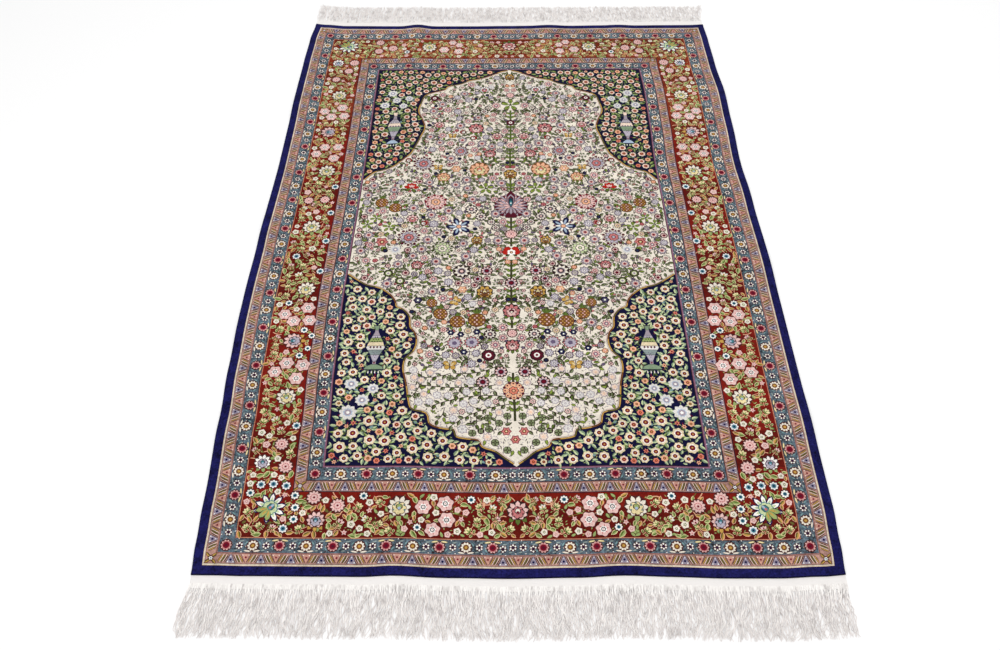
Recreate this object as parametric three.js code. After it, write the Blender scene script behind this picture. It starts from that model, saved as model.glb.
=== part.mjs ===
// A hand-knotted silk rug lying flat, with a flat-woven strip and a fringe at each short end.
// Millimetres. X runs across the rug, Y along it, Z up. The near end is towards -Y.
// The origin is on the surface that the rug lies on, below the middle of the whole.
import * as THREE from "three";

// Driving dimensions
const pileWidth = 1000; // the knotted pile across its corners
const pileLength = 1450; // the knotted pile, end to end
const rugThickness = 4; // knotted foundation and clipped pile together
const weaveThickness = 1.6; // the flat-woven strips beyond the pile
const pileEdgeSlope = 0.6; // how far the pile's cut end leans out as it drops to the strip
const nearStrip = 20; // depth of the flat-woven strip at the near end
const farStrip = 18; // and at the far end
const nearFringe = 80; // length of the free warp ends at the near end
const farFringe = 66; // and at the far end
const fringeThickness = 2.4; // the strands as they lie on each other
const fringeRoot = 9; // where the strands still lie side by side, before they part
const bundleCount = 54; // bundles that the strands fall into, in each fringe
const bundleShare = 0.74; // width of a bundle as a share of its place
const pieceGap = 0.3; // between the rug and each fringe
const rippleDepth = 85; // how far a ripple at an edge runs into the rug
const edgeSteps = [26, 54, 84]; // cut lines beside each edge, where the ripples are
const middleStep = 52; // about how far apart the cut lines are elsewhere

// How far the long sides bow out of a straight line, by the distance along from the middle.
const sideBow = [
  { along: -725, left: 0, right: 0 },
  { along: -675, left: 3.4, right: 3.8 },
  { along: -610, left: 6.3, right: 7.5 },
  { along: -460, left: 12, right: 8.3 },
  { along: -345, left: 18, right: 8.6 },
  { along: -170, left: 21.5, right: 9.3 },
  { along: -40, left: 19.3, right: 9 },
  { along: 60, left: 16.5, right: 6.6 },
  { along: 205, left: 13.8, right: 2.3 },
  { along: 325, left: 13.6, right: 6 },
  { along: 450, left: 14.2, right: 7 },
  { along: 560, left: 12.6, right: 1.8 },
  { along: 655, left: 10, right: 0 },
  { along: 725, left: 4, right: -3 },
];

// How far the ends of the pile stand out of a straight line, by the distance across from the middle.
const endBow = [
  { across: -520, near: -2.6, far: 5 },
  { across: -468, near: -2.2, far: -2.8 },
  { across: -421, near: -1, far: -8.3 },
  { across: -281, near: 0, far: -9.2 },
  { across: -235, near: 0.5, far: -5.6 },
  { across: -195, near: -0.7, far: -9.6 },
  { across: -95, near: 2.2, far: -9.4 },
  { across: -15, near: 3.4, far: -8 },
  { across: 90, near: 1.6, far: -6.3 },
  { across: 160, near: -0.5, far: -6.8 },
  { across: 231, near: 0.5, far: -5 },
  { across: 321, near: 2.8, far: -5.2 },
  { across: 400, near: 2.7, far: -4.2 },
  { across: 460, near: 0, far: -3.6 },
  { across: 520, near: -4, far: 1 },
];

// Soft ripples where the edge doesn't lie quite down: the side, the place along it, half the
// length of the ripple and how high the edge lifts.
const ripples = [
  { side: "left", at: 395, reach: 70, height: 2.4 },
  { side: "left", at: 20, reach: 95, height: 3.6 },
  { side: "left", at: -262, reach: 80, height: 3 },
  { side: "left", at: -470, reach: 62, height: 2.2 },
  { side: "right", at: 430, reach: 75, height: 2.6 },
  { side: "right", at: 120, reach: 66, height: 2 },
  { side: "right", at: -95, reach: 88, height: 3.4 },
  { side: "right", at: -452, reach: 76, height: 3 },
  { side: "near", at: -192, reach: 60, height: 2.8 },
  { side: "near", at: 168, reach: 84, height: 3.8 },
  { side: "far", at: -236, reach: 46, height: 2.6 },
  { side: "far", at: 102, reach: 52, height: 2.2 },
  { side: "far", at: 280, reach: 44, height: 1.8 },
];

const colours = { pile: 0x7a2a2c, warp: 0xe9e4dc };

const halfWidth = pileWidth / 2;
const halfLength = pileLength / 2;

// A value read from a table between its rows, eased from one row to the next.
function readTable(rows, key, column, place) {
  if (place <= rows[0][key]) return rows[0][column];
  for (let i = 1; i < rows.length; i++) {
    const before = rows[i - 1];
    const after = rows[i];
    if (place > after[key]) continue;
    const share = (place - before[key]) / (after[key] - before[key]);
    const eased = (1 - Math.cos(Math.PI * share)) / 2;
    return before[column] + (after[column] - before[column]) * eased;
  }
  return rows[rows.length - 1][column];
}

// The straight-sided plan is bent to the rug's real outline: across and along are places in the
// plan, and a place beyond the pile keeps its distance from the pile's end.
function planPoint(across, along) {
  const inPile = THREE.MathUtils.clamp(along, -halfLength, halfLength);
  const left = -halfWidth - readTable(sideBow, "along", "left", inPile);
  const right = halfWidth + readTable(sideBow, "along", "right", inPile);
  const x = left + ((across + halfWidth) / pileWidth) * (right - left);
  const near = -halfLength - readTable(endBow, "across", "near", across);
  const far = halfLength + readTable(endBow, "across", "far", across);
  const y = near + ((inPile + halfLength) / pileLength) * (far - near) + along - inPile;
  return { x, y };
}

// A rise and fall of one, without a corner, over a reach to each side.
function softHump(distance, reach) {
  const share = Math.min(1, Math.abs(distance) / reach);
  return Math.cos((Math.PI / 2) * share) ** 2;
}

// How high the rug's underside lifts off the surface at a place in the plan.
function liftAt(across, along) {
  const fromEdge = {
    left: across + halfWidth,
    right: halfWidth - across,
    near: along + halfLength,
    far: halfLength - along,
  };
  const stripDepth = { left: rippleDepth, right: rippleDepth, near: nearStrip, far: farStrip };
  let lift = 0;
  for (const ripple of ripples) {
    const inside = fromEdge[ripple.side];
    const place = ripple.side === "left" || ripple.side === "right" ? along : across;
    const depth = inside < 0 ? stripDepth[ripple.side] : rippleDepth;
    lift += ripple.height * softHump(place - ripple.at, ripple.reach) * softHump(inside, depth);
  }
  return lift;
}

// Places for cut lines from low to high: closer beside both ends, evenly spread between.
function cutLines(low, high) {
  const innerLow = low + edgeSteps[edgeSteps.length - 1];
  const innerHigh = high - edgeSteps[edgeSteps.length - 1];
  const spans = Math.round((innerHigh - innerLow) / middleStep);
  const lines = [low, ...edgeSteps.map((step) => low + step)];
  for (let i = 1; i < spans; i++) lines.push(innerLow + ((innerHigh - innerLow) * i) / spans);
  return [...lines, ...edgeSteps.map((step) => high - step).reverse(), high];
}

// A closed slab over a grid of cut lines, each row with the thickness that it has there.
function slabGeometry(columns, rows) {
  const positions = [];
  for (const side of ["top", "bottom"]) {
    for (const row of rows) {
      for (const across of columns) {
        const { x, y } = planPoint(across, row.along);
        const low = liftAt(across, row.along);
        positions.push(x, y, side === "top" ? low + row.thickness : low);
      }
    }
  }
  const wide = columns.length;
  const long = rows.length;
  const below = wide * long;
  const faces = [];
  const quad = (a, b, c, d) => faces.push(a, b, c, a, c, d);
  for (let r = 0; r + 1 < long; r++) {
    for (let c = 0; c + 1 < wide; c++) {
      const a = r * wide + c;
      quad(a, a + 1, a + wide + 1, a + wide);
      quad(below + a, below + a + wide, below + a + wide + 1, below + a + 1);
    }
    const left = r * wide;
    const right = left + wide - 1;
    quad(below + left, left, left + wide, below + left + wide);
    quad(right, below + right, below + right + wide, right + wide);
  }
  for (let c = 0; c + 1 < wide; c++) {
    const last = (long - 1) * wide + c;
    quad(below + c, below + c + 1, c + 1, c);
    quad(last, last + 1, below + last + 1, below + last);
  }
  const geometry = new THREE.BufferGeometry();
  geometry.setAttribute("position", new THREE.Float32BufferAttribute(positions, 3));
  geometry.setIndex(faces);
  geometry.computeVertexNormals();
  return geometry;
}

function makeRug(material) {
  const pileRows = cutLines(-halfLength, halfLength);
  const rows = [
    { along: -halfLength - nearStrip, thickness: weaveThickness },
    { along: -halfLength - nearStrip / 2, thickness: weaveThickness },
    { along: -halfLength - pileEdgeSlope, thickness: weaveThickness },
    ...pileRows.map((along) => ({ along, thickness: rugThickness })),
    { along: halfLength + pileEdgeSlope, thickness: weaveThickness },
    { along: halfLength + farStrip / 2, thickness: weaveThickness },
    { along: halfLength + farStrip, thickness: weaveThickness },
  ];
  const rug = new THREE.Mesh(slabGeometry(cutLines(-halfWidth, halfWidth), rows), material);
  rug.name = "rug_body";
  return rug;
}

// One fringe as a comb: a root strip along the flat weave, and bundles that sway and end unevenly.
// End is -1 for the near end and 1 for the far one. Splay moves the tips at the left and right.
function combShape(end, stripDepth, length, splay) {
  const rootLine = (across, out) => {
    const { x, y } = planPoint(across, end * (halfLength + stripDepth + pieceGap + out));
    return new THREE.Vector2(x, y);
  };
  const pitch = pileWidth / bundleCount;
  const points = [];
  for (let i = 0; i < bundleCount; i++) {
    const middle = -halfWidth + pitch * (i + 0.5);
    const share = i / (bundleCount - 1);
    const sway = 3.2 * Math.sin(i * 0.9) + 1.6 * Math.sin(i * 2.3);
    const fan = splay.left * (1 - share) ** 6 + splay.right * share ** 6;
    const reach = length * (0.955 + 0.03 * Math.sin(i * 1.7) + 0.015 * Math.sin(i * 4.1));
    const half = (pitch * bundleShare) / 2;
    const tip = middle + sway + fan;
    points.push(rootLine(i === 0 ? -halfWidth : middle - half, fringeRoot));
    points.push(rootLine(tip - half * 0.8, reach * 0.9));
    points.push(rootLine(tip, reach));
    points.push(rootLine(tip + half * 0.8, reach * 0.92));
    points.push(rootLine(i === bundleCount - 1 ? halfWidth : middle + half, fringeRoot));
  }
  const rugEdge = cutLines(-halfWidth, halfWidth).reverse();
  for (const across of rugEdge) points.push(rootLine(across, 0));
  return new THREE.Shape(points);
}

function makeFringe(name, material, ...measures) {
  const geometry = new THREE.ExtrudeGeometry(combShape(...measures), {
    depth: fringeThickness,
    bevelEnabled: false,
  });
  const fringe = new THREE.Mesh(geometry, material);
  fringe.name = name;
  return fringe;
}

const pileMaterial = new THREE.MeshStandardMaterial({
  color: colours.pile,
  roughness: 0.62,
  metalness: 0,
});
const warpMaterial = new THREE.MeshStandardMaterial({
  color: colours.warp,
  roughness: 0.8,
  metalness: 0,
});

const rug = new THREE.Group();
rug.add(makeRug(pileMaterial));
rug.add(makeFringe("fringe_near", warpMaterial, -1, nearStrip, nearFringe, { left: -9, right: -8 }));
rug.add(makeFringe("fringe_far", warpMaterial, 1, farStrip, farFringe, { left: 2, right: 3 }));

// The whole is moved so that the origin is below the middle of its box.
const middle = new THREE.Box3().setFromObject(rug).getCenter(new THREE.Vector3());
rug.position.set(-middle.x, -middle.y, 0);

const root = new THREE.Group();
root.add(rug);
export default root;
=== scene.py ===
import math
import random

import bpy
import numpy as np
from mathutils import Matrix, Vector
from mathutils.geometry import delaunay_2d_cdt


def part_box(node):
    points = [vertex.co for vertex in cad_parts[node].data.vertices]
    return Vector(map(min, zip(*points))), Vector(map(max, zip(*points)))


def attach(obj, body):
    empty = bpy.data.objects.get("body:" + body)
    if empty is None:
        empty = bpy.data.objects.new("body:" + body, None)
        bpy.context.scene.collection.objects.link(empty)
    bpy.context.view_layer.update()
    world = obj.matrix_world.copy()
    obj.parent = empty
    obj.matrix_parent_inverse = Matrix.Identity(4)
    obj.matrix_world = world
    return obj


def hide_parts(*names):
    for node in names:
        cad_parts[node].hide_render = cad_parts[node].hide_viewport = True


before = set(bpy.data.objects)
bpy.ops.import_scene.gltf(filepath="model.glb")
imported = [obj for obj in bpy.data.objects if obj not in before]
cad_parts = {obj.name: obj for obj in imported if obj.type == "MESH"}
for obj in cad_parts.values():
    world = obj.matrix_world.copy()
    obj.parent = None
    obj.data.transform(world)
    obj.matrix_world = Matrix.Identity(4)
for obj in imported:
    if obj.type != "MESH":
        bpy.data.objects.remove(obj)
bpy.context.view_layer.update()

MM = 0.001
TURN = 2 * math.pi
UP = math.pi / 2

# Driving sizes, in millimetres. The plan is straight sided: across runs along X, along runs along Y.
PILE_WIDTH = 1000.0
PILE_LENGTH = 1450.0
RUG_THICKNESS = 4.0
WEAVE_THICKNESS = 1.6
FOUNDATION_LOW = 0.3  # under side of the foundation, above the backs of the knots
FOUNDATION_HIGH = 1.3
PILE_ROUNDING = 1.1  # how far the pile drops at its outer edge
NEAR_STRIP = 20.0
FAR_STRIP = 18.0
RIPPLE_DEPTH = 85.0
CORD_RADIUS = 1.85  # the overcast cord along each long side
WRAP_PITCH = 1.7
KNOT_PITCH = 0.00105  # in metres
HALF_WIDTH = PILE_WIDTH / 2
HALF_LENGTH = PILE_LENGTH / 2

# Distances in from the pile's edge at which one band gives way to the next
EDGE_BAND = 14.5
CREAM_LINE = 18.5
OUTER_MINOR = 34.5
OUTER_DARK_LINE = 36.0
OUTER_GUARD = 59.5
PEACH_LINE = 61.5
RED_BORDER = 139.5
INNER_DARK_LINE = 141.0
INNER_MINOR = 159.0
INNER_THIN_LINE = 160.5
INNER_GUARD = 184.0
MAUVE_LINE = 188.0
FIELD_ACROSS = HALF_WIDTH - MAUVE_LINE
FIELD_ALONG = HALF_LENGTH - MAUVE_LINE


def rows_of(text):
    """A table written as text: its first line names the columns, and a semicolon also ends a row."""
    names, *lines = text.replace(";", "\n").strip().splitlines()
    rows = []
    for line in lines:
        words = [float(w) if w.strip("-.0123456789") == "" else w for w in line.split()]
        rows.append(dict(zip(names.split(), words)))
    return rows


SIDE_BOW = rows_of("""
along left right
-725 0 0; -675 3.4 3.8; -610 6.3 7.5; -460 12 8.3; -345 18 8.6; -170 21.5 9.3; -40 19.3 9
60 16.5 6.6; 205 13.8 2.3; 325 13.6 6; 450 14.2 7; 560 12.6 1.8; 655 10 0; 725 4 -3
""")
END_BOW = rows_of("""
across near far
-520 -2.6 5; -468 -2.2 -2.8; -421 -1 -8.3; -281 0 -9.2; -235 0.5 -5.6; -195 -0.7 -9.6
-95 2.2 -9.4; -15 3.4 -8; 90 1.6 -6.3; 160 -0.5 -6.8; 231 0.5 -5; 321 2.8 -5.2
400 2.7 -4.2; 460 0 -3.6; 520 -4 1
""")
RIPPLES = rows_of("""
side at reach height
left 395 70 2.4; left 20 95 3.6; left -262 80 3; left -470 62 2.2
right 430 75 2.6; right 120 66 2; right -95 88 3.4; right -452 76 3
near -192 60 2.8; near 168 84 3.8; far -236 46 2.6; far 102 52 2.2; far 280 44 1.8
""")

# Yarn colours as display values from 0 to 255, and how blotchy each came out: the blotches are partly uneven
# dyeing and, in the navy edge, partly painted sheen
# Of the reds, red_far and red_orange are partly dye lots and partly painted sheen: more orange, and
# red_orange lighter, at the far end of the red border
YARNS = rows_of("""
name red green blue mottle
edge_navy 24 24 76 1.4; edge_dark 13 13 42 0.3; cream_line 208 192 172 0.5; minor_ground 164 126 116 1.0
line_dark 72 32 30 0.4; line_pink 172 116 106 0.5; guard_blue 80 94 104 1.9; guard_teal 112 140 142 0.6
guard_grey 132 144 142 0.6; peach_line 192 132 106 0.5; red 115 25 16 0.6; red_deep 93 20 13 0.6
red_far 106 36 21 0.7; red_orange 126 48 27 0.7; line_navy 38 26 42 0.3; mauve_line 134 90 112 0.5
cream 227 218 203 0.1; field_navy 15 15 50 0.6; field_navy_far 17 17 44 0.6; pale_pink 222 184 178 0.3
rose 188 114 114 0.3; crimson 112 14 36 0.3; burgundy 80 20 36 0.3; white 240 236 230 0.2
shell 224 202 184 0.3; light_blue 164 180 200 0.3; lilac 176 168 180 0.3; lilac_deep 100 86 112 0.3
grey_lilac 158 146 156 0.3; frost 214 210 205 0.2; straw 220 202 168 0.3; sea 126 146 118 0.4
green 88 108 46 0.4; leaf_light 146 162 100 0.4; leaf_pale 192 204 158 0.3; olive 100 92 44 0.4
gold 188 148 74 0.3; pale_yellow 222 206 156 0.3; brown 116 72 38 0.4; brown_dark 50 28 24 0.3
orange 212 118 58 0.3; peach 226 170 136 0.3; salmon 212 124 102 0.3; teal 62 118 128 0.4
teal_dark 24 54 66 0.3; navy 22 22 64 0.3; outline 48 30 30 0.3; moss 62 68 36 0.4; sage 124 134 98 0.4
lime 128 146 62 0.4; lavender_grey 142 132 148 0.5; red_dot 172 34 26 0.3; guard_dark 40 56 72 0.6
salmon_pale 188 140 126 0.5; line_light 216 190 176 0.3; foundation 214 204 190 0.3
""")
YARN_NUMBER = {row["name"]: i for i, row in enumerate(YARNS)}


def linear(value):
    share = value / 255
    return share / 12.92 if share <= 0.04045 else ((share + 0.055) / 1.055) ** 2.4


COLOURS = ("red", "green", "blue")
YARN_LINEAR = np.array([[*[linear(row[c]) for c in COLOURS], row["mottle"]] for row in YARNS])


# The plan bent to the rug's outline, and its lift off the floor
def eased(rows, key, column, places):
    """A column read between a table's rows, eased from one row to the next."""
    known = np.array([row[key] for row in rows])
    values = np.array([row[column] for row in rows])
    i = np.clip(np.searchsorted(known, places) - 1, 0, len(known) - 2)
    share = np.clip((places - known[i]) / (known[i + 1] - known[i]), 0, 1)
    return values[i] + (values[i + 1] - values[i]) * (1 - np.cos(np.pi * share)) / 2


def bent(plan):
    across, along = plan[:, 0], plan[:, 1]
    in_pile = np.clip(along, -HALF_LENGTH, HALF_LENGTH)
    left = -HALF_WIDTH - eased(SIDE_BOW, "along", "left", in_pile)
    right = HALF_WIDTH + eased(SIDE_BOW, "along", "right", in_pile)
    x = left + (across + HALF_WIDTH) / PILE_WIDTH * (right - left)
    near = -HALF_LENGTH - eased(END_BOW, "across", "near", across)
    far = HALF_LENGTH + eased(END_BOW, "across", "far", across)
    y = near + (in_pile + HALF_LENGTH) / PILE_LENGTH * (far - near) + along - in_pile
    return np.stack([x, y], axis=1)


def soft_hump(distance, reach):
    share = np.minimum(1, np.abs(distance) / reach)
    return np.cos(np.pi / 2 * share) ** 2


def lift_at(plan):
    across, along = plan[:, 0], plan[:, 1]
    sides = {
        "left": (across + HALF_WIDTH, along, RIPPLE_DEPTH),
        "right": (HALF_WIDTH - across, along, RIPPLE_DEPTH),
        "near": (along + HALF_LENGTH, across, NEAR_STRIP),
        "far": (HALF_LENGTH - along, across, FAR_STRIP),
    }
    lift = np.zeros(len(plan))
    for row in RIPPLES:
        inside, place, strip = sides[row["side"]]
        depth = np.where(inside < 0, strip, RIPPLE_DEPTH)
        lift += row["height"] * soft_hump(place - row["at"], row["reach"]) * soft_hump(inside, depth)
    return lift


def inset_of(plan):
    """How far a place is in from the pile's edge."""
    return np.minimum(HALF_WIDTH - np.abs(plan[:, 0]), HALF_LENGTH - np.abs(plan[:, 1]))


def outline_shift():
    """The CAD part is centred on its own box, so the plan is moved by the same amount."""
    sides = np.linspace(-HALF_LENGTH - NEAR_STRIP, HALF_LENGTH + FAR_STRIP, 900)
    ends = np.linspace(-HALF_WIDTH, HALF_WIDTH, 600)
    rim = [(s * HALF_WIDTH, v) for s in (-1, 1) for v in sides]
    rim += [(u, v) for v in (sides[0], sides[-1]) for u in ends]
    outline = bent(np.array(rim))
    low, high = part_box("rug_body")
    middle = (outline.min(axis=0) + outline.max(axis=0)) / 2
    return np.array([(low[k] + high[k]) / 2 / MM for k in (0, 1)]) - middle


SHIFT = outline_shift()


def placed(plan, heights):
    """Places of the plan on the real rug, in metres, at heights over the floor's ripples."""
    raised = heights + lift_at(plan)
    return np.concatenate([bent(plan) + SHIFT, raised[:, None]], axis=1) * MM


# The design, kept as flat shapes in painter's order. A later shape covers an earlier one.
chart = []
GROUND, AREA, STEM, LEAF, FLOWER = range(5)
LONGEST_EDGE = 12.0


def paint(level, yarn, points, side="both"):
    area = 0.0
    cut = []
    for (x0, y0), (x1, y1) in zip(points, points[1:] + points[:1]):
        area += x0 * y1 - x1 * y0
        steps = max(1, math.ceil(math.hypot(x1 - x0, y1 - y0) / LONGEST_EDGE))
        cut += [(x0 + (x1 - x0) * k / steps, y0 + (y1 - y0) * k / steps) for k in range(steps)]
    if abs(area) >= 0.04:
        chart.append((level, yarn, side, cut if area > 0 else cut[::-1]))


def paint_both(level, yarn, points, side="both"):
    """Painted as it is and, mirrored, in the other half."""
    for flip in (1, -1):
        paint(level, yarn, [(flip * x, y) for x, y in points], side)


def rectangle(u0, v0, u1, v1):
    return [(u0, v0), (u1, v0), (u1, v1), (u0, v1)]


def polar(angle, reach, centre=(0, 0)):
    return centre[0] + reach * math.cos(angle), centre[1] + reach * math.sin(angle)


def circle(radius, count, centre=(0, 0), turn=0.0):
    return [polar(turn + TURN * k / count, radius, centre) for k in range(count)]


def lobed(radius, lobes, depth, turn=0.0, blunt=0.24):
    """A closed outline with lobes, blunt or pointed, and a dip between each two."""
    points = []
    for k in range(lobes):
        for share, reach in ((-blunt, 1), (blunt, 1), (0.5, 1 - depth)):
            angle = turn + TURN * k / lobes + share * TURN / lobes
            points.append(polar(angle, radius * reach))
    return points


PETAL_SHAPES = {
    "round": ((0.3, 0), (0.55, 0.8), (0.86, 1), (1, 0.4), (1, -0.4), (0.86, -1), (0.55, -0.8)),
    "point": ((0.2, 0), (0.6, 1), (1, 0), (0.6, -1)),
    "full": ((0.1, 0), (0.45, 0.9), (0.8, 0.85), (1, 0), (0.8, -0.85), (0.45, -0.9)),
}


def petal(angle, reach, half, shape="full", base=(0, 0)):
    c, s = math.cos(angle), math.sin(angle)
    return [
        (base[0] + reach * out * c - half * wide * s, base[1] + reach * out * s + half * wide * c)
        for out, wide in PETAL_SHAPES[shape]
    ]


def ring_of(count, turn=0.0, offset=0.0):
    return [turn + TURN * (k + offset) / count for k in range(count)]


def fan_of(count, spread):
    """Angles of a fan that opens upwards over a spread in half turns."""
    return [UP + spread * math.pi * (k / (count - 1) - 0.5) for k in range(count)]


def petals(angles, *layers, shape="full", base=(0, 0)):
    """Layer by layer a petal at each angle. A layer is a yarn, a reach and a half width."""
    pairs = [(layer, angle) for layer in layers for angle in angles]
    return [(yarn, petal(angle, reach, half, shape, base)) for (yarn, reach, half), angle in pairs]


def half_turns(*shares):
    return [share * math.pi for share in shares]


# Flowers: petals of one yarn, a paler or darker root, then a ring and a heart
BLOSSOMS = {
    row["name"]: row
    for row in rows_of("""
name petals shape tip root edge disc ring heart share ring_share heart_share
daisy 7 full straw white none 0 crimson gold 0.86 0.46 0.16
daisy_warm 7 full shell salmon none 0 crimson gold 0.84 0.44 0.17
daisy_pale 7 full straw leaf_pale none 0 brown gold 0.84 0.44 0.18
spark 6 full peach salmon none 0 crimson gold 0.82 0.4 0.22
spark_red 6 full salmon peach none 0 crimson orange 0.82 0.44 0.22
sky 9 full frost light_blue none 0 grey_lilac white 0.8 0.4 0.2
aster 8 full white light_blue line_dark 1 teal navy 0.72 0.5 0.26
rosette 11 full pale_pink rose line_dark 1 pale_pink crimson 0.72 0.42 0.18
rosette_grey 9 point cream grey_lilac outline 1 outline pale_pink 0.62 0.42 0.24
jasmine 5 point cream leaf_pale none 0 green cream 0.9 0.34 0.2
jasmine_pink 5 point pale_pink cream none 0 rose cream 0.9 0.34 0.2
crimson_guard 10 full pale_pink rose line_dark 1 crimson burgundy 0.72 0.62 0.3
brown_guard 10 full cream cream line_dark 1 brown gold 0.72 0.56 0.28
lilac_aster 8 point lilac white outline 0 lilac_deep white 0.6 0.34 0.18
frost_star 7 full frost cream grey_lilac 0 grey_lilac frost 0.66 0.3 0.16
clover 4 round sage leaf_light outline 1 moss sage 0.72 0.34 0.18
shell_star 7 full shell cream grey_lilac 0 peach cream 0.66 0.3 0.14
white_star 8 point cream rose outline 0 burgundy cream 0.6 0.34 0.18
grey_star 8 point grey_lilac cream outline 0 outline cream 0.6 0.36 0.2
straw_star 8 point straw peach outline 0 burgundy cream 0.6 0.36 0.2
grey_floret 8 point cream grey_lilac outline 1 outline pale_pink 0.62 0.42 0.22
pink_floret 6 point pale_pink rose outline 0 burgundy cream 0.66 0.4 0.22
pink_star 8 point pale_pink rose outline 0 crimson cream 0.6 0.38 0.2
wine_floret 9 full pale_pink lilac outline 1 burgundy crimson 0.56 0.5 0.22
red_floret 6 point rose salmon crimson 0 crimson pale_yellow 0.66 0.46 0.24
peach_floret 6 point peach pale_yellow brown 0 salmon cream 0.66 0.42 0.24
navy_floret 6 point navy lilac_deep outline 0 teal_dark white 0.8 0.46 0.3
wine_ring 11 full rose lilac outline 0 lilac lilac_deep 0.6 0.6 0.36
moss_ring 9 full moss leaf_light outline 0 cream grey_lilac 0.7 0.5 0.3
eye 9 full burgundy crimson outline 1 white crimson 0.7 0.46 0.24
lace 10 point grey_lilac cream outline 0 rose burgundy 0.6 0.4 0.22
lace_rose 9 point pale_pink rose outline 0 lilac_deep cream 0.6 0.4 0.22
""")
}
SMALL_FLOWER = 5.4  # below this radius a flower is a star with a heart


def blossom(kind, radius, turn=0.0):
    look = BLOSSOMS[kind]
    count = int(look["petals"])
    edge, tip, ring = look["edge"], look["tip"], radius * look["ring_share"]
    if radius < SMALL_FLOWER:
        count = min(count, 6)
        shapes = [] if edge == "none" else [(edge, circle(radius + 1.0, 8, turn=turn))]
        reach = (radius * 1.05, radius * 0.52)
        tips = [polar(turn + math.pi * k / count, reach[k % 2]) for k in range(2 * count)]
        return shapes + [(tip, tips), (look["ring"], circle(ring * 0.9, 4, turn=turn))]
    half = radius * math.sin(math.pi / count) * look["share"]
    angles = ring_of(count, turn)
    shapes = []
    if look["disc"]:
        shapes.append((edge, lobed(radius + 1.2, count, 0.07, turn)))
    elif edge != "none":
        shapes += petals(angles, (edge, radius + 1.4, half + 1.2), shape=look["shape"])
    shapes += petals(angles, (tip, radius, half), shape=look["shape"])
    if radius > 7:
        shapes.append((look["root"], lobed(ring * 1.3, count, 0.22, turn)))
    shapes.append((look["ring"], circle(ring, 8, turn=turn)))
    return shapes + [(look["heart"], circle(radius * look["heart_share"], 5, turn=turn))]


def leaf(length, half, yarn="green", light="leaf_light", edge="outline", bend=0.12):
    """A leaf that grows from the origin along +Y, with a lighter half."""
    side = ((0, 0), (0.26, 0.86), (0.62, 0.86), (1, 0))

    def line(sign, grow=0.0):
        return [
            (sign * (half + grow) * wide + bend * length * out * out, (length + 2 * grow) * out - grow)
            for out, wide in side
        ]

    shapes = []
    if edge != "none":
        shapes.append((edge, line(1, 1.05) + line(-1, 1.05)[-2:0:-1]))
    shapes.append((yarn, line(1) + line(-1)[-2:0:-1]))
    if light != "none":
        shapes.append((light, line(1) + line(0)[-2:0:-1]))
    return shapes


# Palmettes: a fan of petals round a shield
PALMETTES = {
    row["name"]: row
    for row in rows_of("""
name petals outer inner shield heart dots edge calyx
yellow 10 cream pale_yellow leaf_light light_blue teal line_dark leaf_light
blue_white 10 white lilac teal light_blue lilac_deep line_dark leaf_light
pink_teal 10 pale_pink lilac teal light_blue outline line_dark gold
lotus 9 pale_pink rose cream crimson burgundy outline green
wine 9 rose pale_pink burgundy cream crimson outline green
peach 10 peach pale_yellow salmon cream burgundy brown green
gold_brown 8 gold brown pale_yellow burgundy cream outline olive
grey 11 white rose lilac_deep white burgundy outline green
pale 9 cream pale_pink rose burgundy outline outline green
red 7 red_dot white crimson pale_yellow rose outline green
""")
}


def palmette(kind, radius):
    """A fan of petals that opens towards +Y, with a calyx of leaves at its foot."""
    look = PALMETTES[kind]
    count, edge = int(look["petals"]), look["edge"]
    shapes = []
    for angle in half_turns(-0.5, -0.28, -0.72):
        shapes += petals(
            [angle],
            (edge, radius * 1.08 + 0.8, radius * 0.2 + 0.8 * 0.8),
            (look["calyx"], radius * 1.08, radius * 0.2),
        )
    spread = 1.62
    half = radius * math.sin(spread * math.pi / count / 2) * 0.72
    fan = [(angle, radius * (0.84 + 0.16 * math.sin(angle))) for angle in fan_of(count, spread)]
    shapes.append((edge, [polar(angle, reach + 1.0) for angle, reach in fan]))
    shapes += [(look["outer"], petal(angle, reach, half)) for angle, reach in fan]
    shapes.append((edge, lobed(radius * 0.5 + 1.0, 7, 0.12)))
    shapes.append((look["inner"], lobed(radius * 0.5, 7, 0.2)))
    if radius >= 12:
        for k in range(5):
            angle = UP + spread * math.pi * (k / 4 - 0.5) * 0.74
            shapes.append((look["dots"], circle(radius * 0.08, 4, polar(angle, radius * 0.42), angle)))
    shapes += petals([UP], (edge, radius * 0.64, radius * 0.28), base=(0, -radius * 0.26))
    shapes += petals([UP], (look["shield"], radius * 0.54, radius * 0.2), base=(0, -radius * 0.2))
    return shapes + [(look["heart"], circle(radius * 0.13, 5))]


def corner_palmette(radius):
    """The large palmette of the corners: navy teeth, white petals, a pale green shield, a teal heart."""
    shapes = [("navy", lobed(radius * 0.8, 9, 0.1))]
    layers = (("navy", 1.25, 0.23), ("white", 1.12, 0.165), ("leaf_pale", 0.86, 0.1))
    shapes += petals(fan_of(9, 1.6), *[(yarn, radius * reach, radius * half) for yarn, reach, half in layers])
    shapes.append(("teal", lobed(radius * 0.62, 7, 0.14, 0.3)))
    shapes.append(("leaf_pale", lobed(radius * 0.55, 7, 0.16, 0.3)))
    for yarn, reach, half, foot in (
        ("teal_dark", 0.84, 0.3, -0.4),
        ("teal", 0.72, 0.23, -0.34),
        ("light_blue", 0.4, 0.1, 0.02),
    ):
        shapes += petals([UP], (yarn, radius * reach, radius * half), base=(0, radius * foot))
    shapes.append(("rose", circle(radius * 0.12, 6, (0, radius * 0.04))))
    for angle in half_turns(-0.3, -0.7, -0.5):
        edge, inner = ("outline", radius * 1.06, radius * 0.25), ("leaf_light", radius, radius * 0.2)
        shapes += petals([angle], edge, inner)
        shapes += petals([angle], ("gold", radius * 0.8, radius * 0.07), shape="point")
    return shapes


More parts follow.
